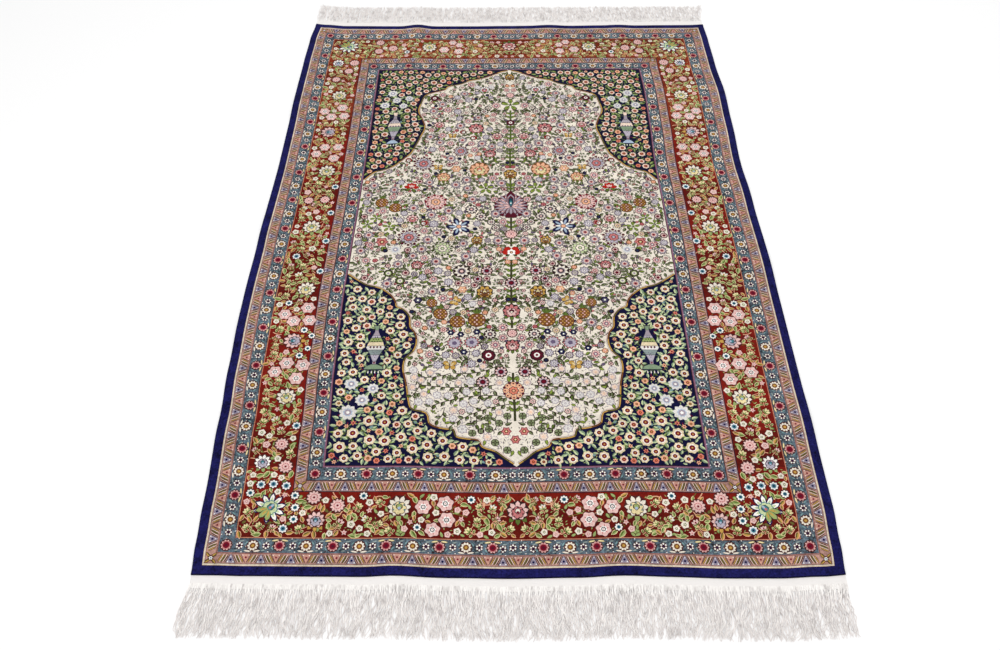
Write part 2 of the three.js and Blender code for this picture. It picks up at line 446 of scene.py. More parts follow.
def hex_flower(radius):
    """Six pointed petals grown together, parted by rose lines, with a dark ring at the heart."""
    shapes = [("line_dark", lobed(radius * 1.08 + 1.0, 6, 0.13, 0.0, 0.1))]
    shapes.append(("pale_pink", lobed(radius * 1.08, 6, 0.19, 0.0, 0.1)))
    shapes += petals(ring_of(6, offset=0.5), ("rose", radius * 0.82, 0.9), shape="point")
    shapes.append(("white", lobed(radius * 0.5, 6, 0.2)))
    for yarn, share, corners in (("line_navy", 0.34, 7), ("white", 0.22, 6), ("rose", 0.1, 4)):
        shapes.append((yarn, circle(radius * share, corners)))
    return shapes


def sprig(radius, bloom, root, foliage):
    """A short stem with four leaves and a half-open bud, edged in pale yarn."""
    shapes = [("peach", rectangle(-0.5, -radius * 0.95, 0.5, 0))]
    for angle, base, reach in ((0.1, -0.7, 0.78), (0.9, -0.7, 0.78), (0.16, -0.1, 0.66), (0.84, -0.1, 0.66)):
        shapes += petals(
            [angle * math.pi],
            ("pale_yellow", reach * radius + 0.7, 0.2 * radius + 0.7 * 0.6),
            (foliage, reach * radius, 0.16 * radius),
            base=(0, base * radius),
        )
    rim = ("outline", 0.98 * radius + 0.7, 0.21 * radius + 0.7 * 0.7)
    shapes += petals(half_turns(0.3, 0.7, 0.5), rim, (bloom, 0.98 * radius, 0.21 * radius))
    shapes += petals([UP], (root, radius * 0.62, radius * 0.16))
    return shapes + [("green", circle(0.2 * radius, 5))]


def spray(radius, yarn, light, bloom, heart):
    """A thin stem with leaves at each side and a small flower at its tip."""
    shapes = [("outline", rectangle(-0.5, -radius, 0.5, radius * 0.5))]
    for angle, base, reach in (
        (0.12, -0.8, 0.62),
        (0.86, -0.55, 0.62),
        (0.14, -0.28, 0.66),
        (0.88, 0.0, 0.62),
        (0.16, 0.22, 0.5),
    ):
        out = reach * radius
        layers = ("outline", out + 1.4, 3.0), (yarn, out, 2.0), (light, out * 0.8, 0.7)
        shapes += petals([angle * math.pi], *layers, shape="point", base=(0, base * radius))
    top = (0, radius * 0.72)
    shapes.append(("outline", circle(radius * 0.34 + 1.0, 6, top)))
    shapes += petals(ring_of(5, offset=0.25), (bloom, radius * 0.34, 1.5), shape="point", base=top)
    return shapes + [(heart, circle(1.0, 4, top))]


def pinecone(radius):
    shapes = [("outline", circle(radius + 1.0, 12)), ("brown", circle(radius, 12))]
    step = radius * 0.5
    for row in range(-3, 4):
        for column in range(-2, 3):
            x, y = (column + 0.5 * (row % 2)) * step, row * step * 0.62
            if math.hypot(x, y) <= radius * 0.84:
                shapes.append(("gold" if (row + column) % 2 else "pale_pink", circle(0.26 * step, 4, (x, y))))
    for angle in half_turns(0.3, 0.7, 0.5):
        layers = ("outline", radius * 0.8 + 0.8, radius * 0.18 + 0.8), ("green", radius * 0.8, radius * 0.18)
        shapes += petals([angle], *layers, base=(0, radius * 0.85))
    return shapes


def crowned(radius, count, tip, spot, heart, shape="round"):
    """A wide flower whose petals each carry a dark spot at the tip."""
    half = radius * math.sin(math.pi / count) * (0.62 if shape == "round" else 0.46)
    rim = ("outline", radius * 0.9 + 1.1, half + 1.1 * 0.8)
    shapes = petals(ring_of(count), rim, (tip, radius * 0.9, half), shape=shape)
    for angle in ring_of(count):
        shapes.append((spot, circle(radius * 0.1, 4, polar(angle, radius * 0.74), angle)))
        angle += TURN / count / 2
        shapes.append((spot, circle(radius * 0.15, 5, polar(angle, radius * 0.86), angle)))
    shapes += [("outline", lobed(radius * 0.46, 7, 0.16)), (heart, lobed(radius * 0.4, 7, 0.24))]
    return shapes + [("outline", circle(radius * 0.2, 6)), (tip, circle(radius * 0.13, 5))]


def grand_palmette(radius):
    """The great palmette of the middle: rows of small lilac petals round a wine-red shield."""
    shapes = [("burgundy", lobed(radius * 0.88, 15, 0.08, UP))]
    for count, reach, half, yarn in (
        (19, 1.0, 0.066, "grey_lilac"),
        (15, 0.8, 0.06, "pale_pink"),
        (13, 0.66, 0.058, "lilac"),
        (9, 0.46, 0.06, "pale_pink"),
    ):
        for rim, grow in (("burgundy", 1.1), (yarn, 0.0)):
            for angle in fan_of(count, 1.7):
                out = reach * (0.9 + 0.1 * math.sin(angle)) * radius
                shapes.append((rim, petal(angle, out + grow, half * radius + grow * 0.8)))
    for yarn, reach, half, foot in (
        ("burgundy", 1.5, 0.26, -0.32),
        ("grey_lilac", 1.16, 0.2, -0.26),
        ("burgundy", 1.02, 0.16, -0.22),
        ("teal_dark", 0.8, 0.12, -0.14),
        ("teal", 0.5, 0.07, -0.06),
    ):
        shapes += petals([UP], (yarn, radius * reach, radius * half), base=(0, radius * foot))
    shapes.append(("white", circle(radius * 0.045, 5, (0, radius * 0.22))))
    for angle in half_turns(-0.36, -0.64, -0.5):
        layers = ("burgundy", radius * 0.66, radius * 0.14), ("grey_lilac", radius * 0.6, radius * 0.08)
        shapes += petals([angle], *layers)
    return shapes


def split_leaves(radius):
    """Long navy and pale blue petals set apart, with crimson hearts between them."""
    shapes = []
    for angle in ring_of(5, UP):
        between = angle + TURN / 10
        edge, inner = ("outline", radius * 0.7, radius * 0.16), ("white", radius * 0.62, radius * 0.11)
        shapes += petals([between], edge, inner)
        for yarn, reach, half in (("outline", 1.05, 0.26), ("navy", 1.0, 0.22), ("light_blue", 0.78, 0.1)):
            shapes += petals([angle], (yarn, radius * reach, radius * half))
        shapes.append(("crimson", circle(radius * 0.08, 5, polar(between, radius * 0.72))))
    return shapes + [("outline", circle(radius * 0.24, 6)), ("peach", circle(radius * 0.18, 6))]


def pomegranate(radius):
    """A red fruit split open on a white flower."""
    shapes = petals(half_turns(-0.25, -0.75), ("moss", radius * 0.9, radius * 0.2))
    layers = ("outline", radius + 1.0, radius * 0.42 + 1.0), ("red_dot", radius, radius * 0.42)
    shapes += petals(half_turns(0.02, 0.98, 0.25, 0.75), *layers)
    shapes.append(("white", lobed(radius * 0.46, 6, 0.24, 0.5)))
    return shapes + [("crimson", circle(radius * 0.2, 6)), ("pale_yellow", circle(radius * 0.1, 4))]


def butterfly(radius):
    shapes = []
    for yarn, grow in (("brown_dark", 0.8), ("gold", 0.0)):
        for angles, reach in (((0.2, 0.8), 1.0), ((1.2, 1.8), 0.8)):
            shapes += petals(half_turns(*angles), (yarn, radius * reach + grow, radius * 0.32 + grow))
    shapes += petals(half_turns(0.2, 0.8), ("pale_yellow", radius * 0.7, radius * 0.1), shape="point")
    return shapes + [("brown_dark", rectangle(-0.8, -radius * 0.7, 0.8, radius * 0.7))]


def leaf_cluster(radius, yarn, light, edge="outline", count=5, spread=1.0):
    shapes = []
    for k in range(count):
        angle = UP + TURN * spread * (k - (count - 1) / 2) / count
        for layer, reach, half in ((edge, 1.08, 0.27), (yarn, 0.97, 0.2), (light, 0.74, 0.07)):
            shapes += petals([angle], (layer, radius * reach, radius * half))
    return shapes + [(edge, circle(radius * 0.16, 5))]


def tulip(radius):
    shapes = []
    for angle in half_turns(-0.8, -0.3):
        shapes += petals([angle], ("outline", radius, radius * 0.3), ("green", radius * 0.9, radius * 0.2))
    layers = ("outline", radius + 0.9, radius * 0.26 + 0.9 * 0.7), ("red_dot", radius, radius * 0.26)
    shapes += petals(half_turns(0.08, 0.92, 0.32, 0.68, 0.5), *layers)
    shapes += petals(half_turns(0.32, 0.5, 0.68), ("pale_pink", radius * 0.66, radius * 0.13))
    return shapes + [("crimson", circle(radius * 0.2, 6))]


def band_shape(profile, low, high, grow=0.0):
    """The part of a profile of half widths between two heights."""
    heights = [row["height"] for row in profile]
    widths = [row["half"] + grow for row in profile]
    levels = [low] + [h for h in heights if low < h < high] + [high]
    right = [(float(np.interp(h, heights, widths)), h) for h in levels]
    return right + [(-x, h) for x, h in right[::-1]]


# The vases: half widths by height, then each band of yarn up to a height, from the foot to the mouth
VASES = {
    "near": (
        rows_of("""
height half
-48 17; -42 14; -37 3; -30 3; -14 9; 0 16.5; 14 12; 28 6; 36 3; 44 3; 50 5
"""),
        rows_of("""
top yarn
-37 sea; -30 grey_lilac; -16 lilac; -5 guard_grey; 4 frost
13 straw; 22 leaf_light; 28 lilac; 40 grey_lilac; 50 sea
"""),
        "burgundy",
    ),
    "far": (
        rows_of("""
height half
-58 13; -53 10; -46 2.4; -38 3; -22 8; 0 14.5; 12 12; 26 4; 38 3; 50 5
"""),
        rows_of("""
top yarn
-46 light_blue; -34 grey_lilac; -16 lilac; 0 sea; 12 shell; 24 lilac; 38 grey_lilac; 50 shell
"""),
        "lilac_deep",
    ),
}


def vase(name):
    """A long-necked vase on a foot, with leaves at its mouth. Its widest place is at the origin."""
    profile, bands, drop = VASES[name]
    foot, mouth = profile[0]["height"], profile[-1]["height"]
    shapes = []
    for angle in half_turns(0.1, 0.9, 0.3, 0.7):
        shapes += petals([angle], ("leaf_pale", 17, 3.4), base=(0, mouth - 6))
        shapes += petals([angle], ("green", 14, 1.2), shape="point", base=(0, mouth - 6))
    shapes.append(("field_navy", band_shape(profile, foot - 1, mouth + 1, 1.2)))
    low = foot
    for band in bands:
        high = band["top"]
        shapes.append((band["yarn"], band_shape(profile, low, high)))
        shapes.append(("outline", band_shape(profile, high - 0.9, high)))
        low = high
    leaves = ((-7, 11), (-2.4, 11), (2.4, 11), (7, 11), (-4.4, 16), (0, 16), (4.4, 16), (-2, 21), (2, 21))
    beads = ((-3, -14), (0, -16), (3, -14), (0, -24), (-2, -20), (2, -20))
    for yarn, reach, half, places in (
        (drop, 7.6, 2.2, [(x, -3.8) for x in (-9, -3, 3, 9)]),
        ("moss", 4.2, 1.5, leaves),
        ("lilac_deep", 3.4, 1.0, beads),
    ):
        shapes += [(yarn, petal(UP, reach, half, "point", place)) for place in places]
    shapes.append(("crimson", circle(1.9, 6, (0, profile[2]["height"] + 3))))
    return shapes + [("white", petal(-UP, 9, 1.1, "point", (x, foot - 1))) for x in (-9, -3, 3, 9)]


# Where things lie already, so that what fills the gaps keeps clear of them
CELL = 30.0
taken = {}


def take(u, v, radius):
    taken.setdefault((math.floor(u / CELL), math.floor(v / CELL)), []).append((u, v, radius))


def nearest(u, v):
    """Room to the nearest taken circle, with that circle."""
    best, found = 40.0, None
    column, row = math.floor(u / CELL), math.floor(v / CELL)
    for i in (column - 1, column, column + 1):
        for j in (row - 1, row, row + 1):
            for other in taken.get((i, j), ()):
                room = math.hypot(other[0] - u, other[1] - v) - other[2]
                if room < best:
                    best, found = room, other
    return best, found


def lay(shapes, u, v, turn=0.0, level=FLOWER, flip=1):
    c, s = math.cos(turn), math.sin(turn)
    for yarn, points in shapes:
        paint(level, yarn, [(flip * (u + x * c - y * s), v + x * s + y * c) for x, y in points], "front")


def lay_both(shapes, u, v, turn=0.0, level=FLOWER):
    """Laid at the left and, mirrored, at the right. On the middle line it is laid once."""
    lay(shapes, u, v, turn, level)
    if abs(u) > 0.1:
        lay(shapes, u, v, turn, level, -1)


def back_of(u, v, radius, tip, heart):
    """On the under side a flower shows as a plain disc with a heart."""
    for flip in (1, -1) if abs(u) > 0.1 else (1,):
        paint(FLOWER, tip, circle(radius * 0.92, 7, (flip * u, v)), "back")
        if radius > 7:
            paint(FLOWER, heart, circle(radius * 0.4, 5, (flip * u, v)), "back")


# Each motif's function and what it is given after the radius, with the two yarns that its under side shows
MOTIFS = {
    "corner": (corner_palmette, (), "white", "teal"),
    "hex": (hex_flower, (), "pale_pink", "outline"),
    "pinecone": (pinecone, (), "brown", "gold"),
    "butterfly": (butterfly, (), "gold", "brown"),
    "navy_leaves": (split_leaves, (), "navy", "white"),
    "pomegranate": (pomegranate, (), "red_dot", "white"),
    "tulip": (tulip, (), "red_dot", "pale_pink"),
    "grand": (grand_palmette, (), "grey_lilac", "burgundy"),
    "petal_ring": (crowned, (9, "pale_pink", "crimson", "peach"), "pale_pink", "crimson"),
    "lilac_ring": (crowned, (10, "lilac", "burgundy", "rose", "point"), "lilac", "burgundy"),
    "peach_ring": (crowned, (8, "peach", "burgundy", "salmon"), "peach", "burgundy"),
    "bud_ring": (crowned, (10, "leaf_pale", "moss", "cream", "point"), "leaf_pale", "moss"),
    "green_leaves": (leaf_cluster, ("lime", "green"), "green", "moss"),
    "twin_leaves": (leaf_cluster, ("lime", "moss", "outline", 3, 0.5), "green", "moss"),
    "trefoil": (leaf_cluster, ("sage", "grey_lilac", "outline", 3, 0.8), "sage", "moss"),
    "spray": (spray, ("sage", "moss", "pale_pink", "burgundy"), "sage", "rose"),
    "spray_moss": (spray, ("sage", "moss", "frost", "lilac"), "sage", "frost"),
    "spray_lilac": (spray, ("grey_lilac", "lilac", "cream", "burgundy"), "grey_lilac", "cream"),
    "spray_rose": (spray, ("lime", "leaf_light", "pale_pink", "burgundy"), "lime", "rose"),
    "sprig": (sprig, ("pale_yellow", "leaf_light", "green"), "green", "pale_yellow"),
    "sprig_pink": (sprig, ("pale_pink", "crimson", "olive"), "olive", "pale_pink"),
    "sprig_gold": (sprig, ("cream", "gold", "leaf_light"), "leaf_light", "cream"),
}


def make(kind, radius, turn=0.0):
    """The shapes of any named motif, with the two yarns that its under side shows."""
    if kind in BLOSSOMS:
        return blossom(kind, radius, turn), BLOSSOMS[kind]["tip"], BLOSSOMS[kind]["heart"]
    if kind.startswith("p_"):
        look = PALMETTES[kind[2:]]
        return palmette(kind[2:], radius), look["outer"], look["shield"]
    function, rest, tip, heart = MOTIFS[kind]
    return function(radius, *rest), tip, heart


def lay_table(text, dice=None):
    """Each line names a motif and lists its places in the left half: across, along, radius and any turn."""
    for line in text.strip().splitlines():
        kind, spots = line.split(maxsplit=1)
        for spot in spots.split(";"):
            u, v, radius, *turn = [float(word) for word in spot.split()]
            shapes, tip, heart = make(kind, radius)
            if dice:
                skirt(u, v, radius, dice)
            lay_both(shapes, u, v, math.radians(sum(turn)))
            back_of(u, v, radius, tip, heart)
            take(u, v, radius + 0.8)


def skirt(u, v, radius, dice):
    """Two or three long leaves that stand out from under a flower."""
    start = dice.random() * TURN
    for k in range(dice.choice((2, 3))):
        yarn, light = dice.choice((("sea", "leaf_pale"), ("leaf_pale", "sea"), ("green", "leaf_light")))
        reach, sweep = dice.uniform(1.6, 1.95), dice.uniform(-0.2, 0.2)
        shapes = leaf(radius * reach, radius * 0.27, yarn, light, "none", sweep)
        lay_both(shapes, u, v, start + k * 2.2 + dice.uniform(-0.4, 0.4), LEAF)


def line_between(start, end, unit=1.0):
    """A rule that turns a share of the way, and units to the left of it, into a place."""
    (x0, y0), (x1, y1) = start, end
    length = math.hypot(x1 - x0, y1 - y0)
    nx, ny = -(y1 - y0) / length * unit, (x1 - x0) / length * unit
    return lambda t, out: (x0 + (x1 - x0) * t + nx * out, y0 + (y1 - y0) * t + ny * out)


def stem(start, end, bow, width=0.9, steps=4):
    """A thin bowed strip between two places."""
    at = line_between(start, end)
    shares = [k / steps for k in range(steps + 1)]
    right, left = ([at(t, bow * 4 * t * (1 - t) + s * width / 2) for t in shares] for s in (1, -1))
    return right + left[::-1]


def shifted(shapes, along):
    return [(yarn, [(x, y + along) for x, y in points]) for yarn, points in shapes]


def fill(inside, box, step, kinds, leaves, stem_yarn, seed, skirts=False, leaf_room=2.4):
    """Small flowers, then leaves, set where there is room in the left half and mirrored."""
    dice = random.Random(seed)
    u0, v0, u1, v1 = box
    spots = [
        (u0 + (i + dice.random()) * step, v0 + (j + dice.random()) * step)
        for i in range(int((u1 - u0) / step))
        for j in range(int((v1 - v0) / step))
    ]
    dice.shuffle(spots)
    for row in rows_of(kinds):
        kind, wanted = row["kind"], int(len(spots) * row["share"])
        for u, v in spots:
            if wanted <= 0:
                break
            size = row["radius"] * dice.uniform(0.88, 1.1)
            if u + size > -0.6 or not inside(u, v, size + 0.8):
                continue
            room, other = nearest(u, v)
            if room < size + 1.0:
                continue
            shapes, tip, heart = make(kind, size, dice.random())
            spread = 2.6 if kind.startswith("spray") else 1
            turn = 0.0 if kind in BLOSSOMS else dice.uniform(-1.2, 1.2) * spread
            if skirts and inside(u, v, size * 1.5) and dice.random() < 0.6:
                skirt(u, v, size, dice)
            lay_both(shapes, u, v, turn)
            if size > 5:
                back_of(u, v, size, tip, heart)
            if other and room < 24:
                paint_both(STEM, stem_yarn, stem((u, v), other[:2], dice.uniform(-4, 4)), "front")
            take(u, v, size + 0.6)
            wanted -= 1
    for row in rows_of(leaves):
        dice.shuffle(spots)
        half, wanted = row["half"], int(len(spots) * row["share"])
        for u, v in spots:
            if wanted <= 0:
                break
            room, other = nearest(u, v)
            if room < (leaf_room if half > 1.1 else 1.3) or not inside(u, v, 2.2) or u > -2:
                continue
            length = min(row["longest"], 2 * room + 3)
            away = math.atan2(v - other[1], u - other[0]) if other else dice.random() * TURN
            away += dice.uniform(-1.2, 1.2)
            if half < 1.1:
                shapes = [(row["yarn"], petal(UP, length, half, "point"))]
            else:
                look = row["yarn"], row["light"], row["edge"]
                shapes = leaf(length, min(half, length * 0.26), *look, dice.uniform(-0.25, 0.25))
            lay_both(shifted(shapes, -length / 2), u, v, away - UP, LEAF)
            take(u, v, length * 0.34 if half > 1.1 else 1.2)
            wanted -= 1


def tangle(inside, box, stems, leaves, stem_yarns, leaf_looks, seed):
    """Thin stems and loose leaves, laid without a plan, that show in the gaps between the flowers."""
    dice = random.Random(seed)
    for k in range(stems + leaves):
        u, v = dice.uniform(box[0], box[2]), dice.uniform(box[1], box[3])
        angle = dice.random() * TURN
        if u > -7 or not inside(u, v, 5.5):
            continue
        if k < stems:
            reach = dice.uniform(5, 9)
            ends = polar(angle, -reach, (u, v)), polar(angle, reach, (u, v))
            line = stem(*ends, dice.uniform(-3, 3), 1.5, 3)
            lay_both([(dice.choice(stem_yarns.split()), line)], 0.2, 0, 0, STEM)
        else:
            look = dice.choice(leaf_looks.split(";")).split()
            shapes = leaf(dice.uniform(7, 10), 2.5, *look, dice.uniform(-0.2, 0.2))
            lay_both(shifted(shapes, -4), u, v, angle, STEM)


# The grounds of the bands, from the outer edge inwards. The red changes from one dye lot to the next, and at
# the far end it is partly painted sheen, more orange and lighter where the pile would catch the light.
def band_grounds(text):
    for row in rows_of(text):
        u, v = HALF_WIDTH - row["inset"], HALF_LENGTH - row["inset"]
        paint(GROUND, row["yarn"], rectangle(-u, -v, u, v))


band_grounds(f"""
inset yarn
0 edge_dark; 1.4 edge_navy; {EDGE_BAND} line_dark; {EDGE_BAND + 0.5} cream_line
{CREAM_LINE - 0.7} line_dark; {CREAM_LINE} minor_ground; {OUTER_MINOR} line_dark
{OUTER_MINOR + 0.7} line_pink; {OUTER_DARK_LINE} guard_blue; {OUTER_GUARD} line_dark
{OUTER_GUARD + 0.8} peach_line; {PEACH_LINE} red
""")
RED_HALF_WIDTH = HALF_WIDTH - PEACH_LINE
RED_HALF_LENGTH = HALF_LENGTH - PEACH_LINE
for row in rows_of("""
low high yarn
-663.5 -612 red_deep; -540 -470 red_deep; -200 -60 red_deep; 60 140 red_deep; 300 360 red_far
360 470 red_orange; 470 540 red_far; 540 600 red_orange; 600 663.5 red_far
"""):
    paint(GROUND, row["yarn"], rectangle(-RED_HALF_WIDTH, row["low"], RED_HALF_WIDTH, row["high"]))
# Painted sheen: lighter orange patches across the far end of the red border
for low, high in ((-330, -50), (60, 180)):
    paint(GROUND, "red_orange", rectangle(low, 600, high, RED_HALF_LENGTH))
band_grounds(f"""
inset yarn
{RED_BORDER} line_navy; {INNER_DARK_LINE} minor_ground; {INNER_MINOR} line_dark
{INNER_THIN_LINE} guard_blue; {INNER_GUARD} mauve_line; {INNER_GUARD + 2.6} outline
""")
for low in (-FIELD_ALONG, 0.0):
    paint(GROUND, "cream", rectangle(-FIELD_ACROSS, low, FIELD_ACROSS, low + FIELD_ALONG))


# The scalloped line between the navy corners and the cream field, in the left half
NEAR_SCALLOP = rows_of("""
across along
-312 -120; -293 -135; -274 -148; -248 -157; -229 -172; -218 -188; -214 -202; -200 -210; -189 -227
-187 -249; -177 -265; -174 -285; -179 -304; -192 -320; -195 -340; -192 -359; -187 -381; -182 -419
-174 -431; -152 -437; -147 -456; -135 -464; -116 -468; -105 -469; -100 -482; -81 -487; -64 -489
-56 -502; -35 -510; -19 -523; 0 -537
""")
FAR_SCALLOP = rows_of("""
across along
-312 150; -293 174; -274 182; -252 193; -239 208; -229 221; -219 234; -211 258; -202 290; -194 321
-200 348; -211 379; -208 406; -202 433; -196 442; -181 452; -154 463; -146 475; -115 486; -96 498
-69 506; -38 522; -18 533; 0 537
""")


def smooth_line(rows, steps=3):
    known = [(row["across"], row["along"]) for row in rows]
    ends = [known[0]] + known + [known[-1]]
    line = []
    for i in range(1, len(ends) - 2):
        a, b, c, d = (np.array(ends[i + k]) for k in (-1, 0, 1, 2))
        for t in (k / steps for k in range(steps)):
            square, cube = 2 * a - 5 * b + 4 * c - d, 3 * b - a - 3 * c + d
            p = 0.5 * (2 * b + (c - a) * t + square * t**2 + cube * t**3)
            line.append((max(-FIELD_ACROSS, float(p[0])), max(-FIELD_ALONG, min(FIELD_ALONG, float(p[1])))))
    return line + [known[-1]]


near_line = smooth_line(NEAR_SCALLOP)
far_line = smooth_line(FAR_SCALLOP)
near_area = near_line + [(-FIELD_ACROSS, -FIELD_ALONG)]
far_area = far_line + [(-FIELD_ACROSS, FIELD_ALONG)]


def edge_strip(line, low, high, yarns, outward):
    """A strip beside a line, in short quads, between two offsets towards the cream field."""
    spots = np.array(line)
    along = np.gradient(spots, axis=0)
    along /= np.linalg.norm(along, axis=1)[:, None]
    normal = np.stack([-along[:, 1], along[:, 0]], axis=1) * outward
    inner, outer = (spots + normal * low).tolist(), (spots + normal * high).tolist()
    for k in range(len(line) - 1):
        paint_both(AREA, yarns[k // 4 % len(yarns)], [inner[k], inner[k + 1], outer[k + 1], outer[k]])


paint_both(AREA, "field_navy", near_area)
paint_both(AREA, "field_navy_far", far_area)
for line, outward in ((near_line, 1), (far_line, -1)):
    edge_strip(line[:-1], -0.4, 0.5, ("outline",), outward)
    edge_strip(line[:-1], 0.5, 2.6, ("gold", "olive", "gold", "brown"), outward)
    edge_strip(line[:-1], 2.6, 3.5, ("line_dark",), outward)
    edge_strip(line[:-1], 4.6, 5.3, ("burgundy", "rose"), outward)


# The zones inside the bands, on a grid: the field, the near corners and the far ones
GRID = 3.0
FIELD_ZONE, NEAR_ZONE, FAR_ZONE = range(3)


def in_polygon(places, polygon):
    u, v = places[..., 0], places[..., 1]
    hit = np.zeros(u.shape, bool)
    for (x0, y0), (x1, y1) in zip(polygon, polygon[1:] + polygon[:1]):
        if y0 != y1:
            hit ^= ((y0 > v) != (y1 > v)) & (u < x0 + (v - y0) / (y1 - y0) * (x1 - x0))
    return hit


def room_to(places, line):
    room = np.full(places.shape[:-1], np.inf)
    for (x0, y0), (x1, y1) in zip(line, line[1:]):
        run = np.array((x1 - x0, y1 - y0))
        if run.any():
            t = np.clip(((places - (x0, y0)) @ run) / float(run @ run), 0, 1)
            away = places - (x0, y0) - t[..., None] * run
            room = np.minimum(room, np.hypot(away[..., 0], away[..., 1]))
    return room


grid_across = np.arange(-FIELD_ACROSS, GRID, GRID)
grid_along = np.arange(-FIELD_ALONG, FIELD_ALONG + GRID, GRID)
grid_places = np.stack(np.meshgrid(grid_across, grid_along, indexing="ij"), axis=-1)
zones = np.where(in_polygon(grid_places, near_area), NEAR_ZONE, FIELD_ZONE)
zones[in_polygon(grid_places, far_area)] = FAR_ZONE
rooms = np.minimum(room_to(grid_places, near_line), room_to(grid_places, far_line))


def within(zone, margin):
    """A test of whether a circle fits in a zone, clear of its edge by a margin."""

    def inside(u, v, radius):
        if u - radius < 1 - FIELD_ACROSS or abs(v) + radius > FIELD_ALONG - 1:
            return False
        i, j = round((u + FIELD_ACROSS) / GRID), round((v + FIELD_ALONG) / GRID)
        return zones[i, j] == zone and rooms[i, j] > radius + margin

    return inside


def in_band(low, high):
    def inside(u, v, radius):
        inset = min(HALF_WIDTH - abs(u), HALF_LENGTH - abs(v))
        return inset - radius > low + 0.5 and inset + radius < high - 0.5

    return inside


# The four sides of a band: a place along the side and a depth in from the pile's edge
def side_place(side, along, inset):
    u, v = HALF_WIDTH - inset, HALF_LENGTH - inset
    return {"near": (along, -v), "far": (along, v), "left": (-u, along), "right": (u, along)}[side]


def slanting_leaf(start, end, half):
    """A leaf between two places, blunt at both ends."""
    at = line_between(start, end, half)
    return [at(0, 0), at(0.25, 0.9), at(0.7, 0.9), at(1, 0), at(0.7, -0.9), at(0.25, -0.9)]


GUARD_LEAVES = rows_of("""
foot head half yarn
10.6 3.0 0.8 brown_dark; 12.6 5.0 0.9 line_light; 15.0 7.4 2.0 brown_dark; 15.0 7.4 1.0 olive
17.6 10.0 0.9 line_light; 19.9 12.3 1.7 brown_dark; 19.9 12.3 0.8 gold
""")
GUARD_REPEAT = 46.5  # the repeat for which the guard's small shapes are drawn


def minor_guard(low, high, pitch):
    """Triangles that point in and out by turns, with slanting leaves between them."""
    deep = high - low
    for side in ("near", "far", "left", "right"):
        half = (HALF_WIDTH if side in ("near", "far") else HALF_LENGTH) - high
        count = max(1, round(2 * half / pitch))
        step = 2 * half / count
        k = step / GUARD_REPEAT

        def show(level, yarn, middle, spots, shown="front"):
            paint(level, yarn, [side_place(side, middle + s, low + d * deep) for s, d in spots], shown)

        def dots(yarn, middle, depth, radius, *shares):
            for s in shares:
                angles = (0.4, 1.9, 3.5, 5.1)
                spots = [(s + radius * math.cos(a), depth + radius / deep * math.sin(a)) for a in angles]
                show(FLOWER, yarn, middle, spots)

        def block(yarn, middle, grow, foot, head, bottom, top, shown="front"):
            foot, head = foot * k + grow, head * k + grow
            show(LEAF, yarn, middle, [(-foot, bottom), (foot, bottom), (head, top), (-head, top)], shown)

        for i in range(count):
            m = -half + (i + 0.5) * step
            block("outline", m, 1.1, 7.0, 0.8, 0.03, 0.92, "both")
            block("lavender_grey", m, 0, 7.0, 0.8, 0.03, 0.92, "both")
            dots("navy", m, 0.36, 2.4, 0)
            dots("white", m, 0.15, 1.2, -4.2 * k, 4.2 * k)
            dots("white", m, 0.7, 0.9, 0)
            for s in (-1, 1):
                for row in GUARD_LEAVES:
                    foot, head = m + s * row["foot"] * k, m + s * row["head"] * k
                    ends = (foot, low + 0.05 * deep), (head, low + 0.96 * deep)
                    spots = slanting_leaf(*ends, row["half"])
                    paint(LEAF, row["yarn"], [side_place(side, *spot) for spot in spots], "front")
            n = m + step / 2
            if i < count - 1:
                block("line_dark", n, 1.1, 0.6, 7.0, 0.08, 0.97)
                block("salmon_pale", n, 0, 0.6, 7.0, 0.08, 0.97)
                dots("crimson", n, 0.62, 2.1, 0)
                dots("white", n, 0.86, 0.9, -4.6 * k, 4.6 * k)
                dots("peach", n, 0.3, 0.8, 0)
    middle = (low + high) / 2
    for place in ((u * (HALF_WIDTH - middle), v * (HALF_LENGTH - middle)) for u in (-1, 1) for v in (-1, 1)):
        for turn in ring_of(4, offset=0.5):
            lay(shifted(leaf(deep * 0.62, 1.8, "gold", "olive", "line_dark"), 2.5), *place, turn, LEAF)
        lay(blossom("aster", 3.6), *place)


minor_guard(CREAM_LINE + 0.6, OUTER_MINOR - 0.2, 46.5)
minor_guard(INNER_DARK_LINE + 0.4, INNER_MINOR - 0.4, 44.0)


def facing(u, v, inward):
    """Places by their distance inwards and sideways from a place in a guard."""
    ix, iy = inward
    return lambda depth, side, s=1: (u + ix * depth - iy * s * side, v + iy * depth + ix * s * side)


def rimmed_leaf(start, end, rim, yarn, half, inner):
    lay([(rim, slanting_leaf(start, end, half)), (yarn, slanting_leaf(start, end, inner))], 0, 0)


def guard_rosette(u, v, kind, bars, inward):
    look = BLOSSOMS[kind]
    lay(blossom(kind, 8.8), u, v)
    back_of(u, v, 8.4, look["tip"], look["ring"])
    at = facing(u, v, inward)
    for s in (-1, 1) if bars else ():
        bar = "pale_yellow" if kind == "crimson_guard" else "cream"
        rimmed_leaf(at(9.6, 2, s), at(7.8, 13, s), "outline", bar, 2.2, 1.4)
        rimmed_leaf(at(-7.2, 8.6, s), at(-1.8, 12.6, s), "guard_dark", "guard_teal", 2.3, 1.5)


FLORET_DASHES = rows_of("""
out along yarn
9.2 2.2 white; 8.6 8.6 line_dark; 3.4 10.6 line_light; 9.4 5.2 line_dark
""")


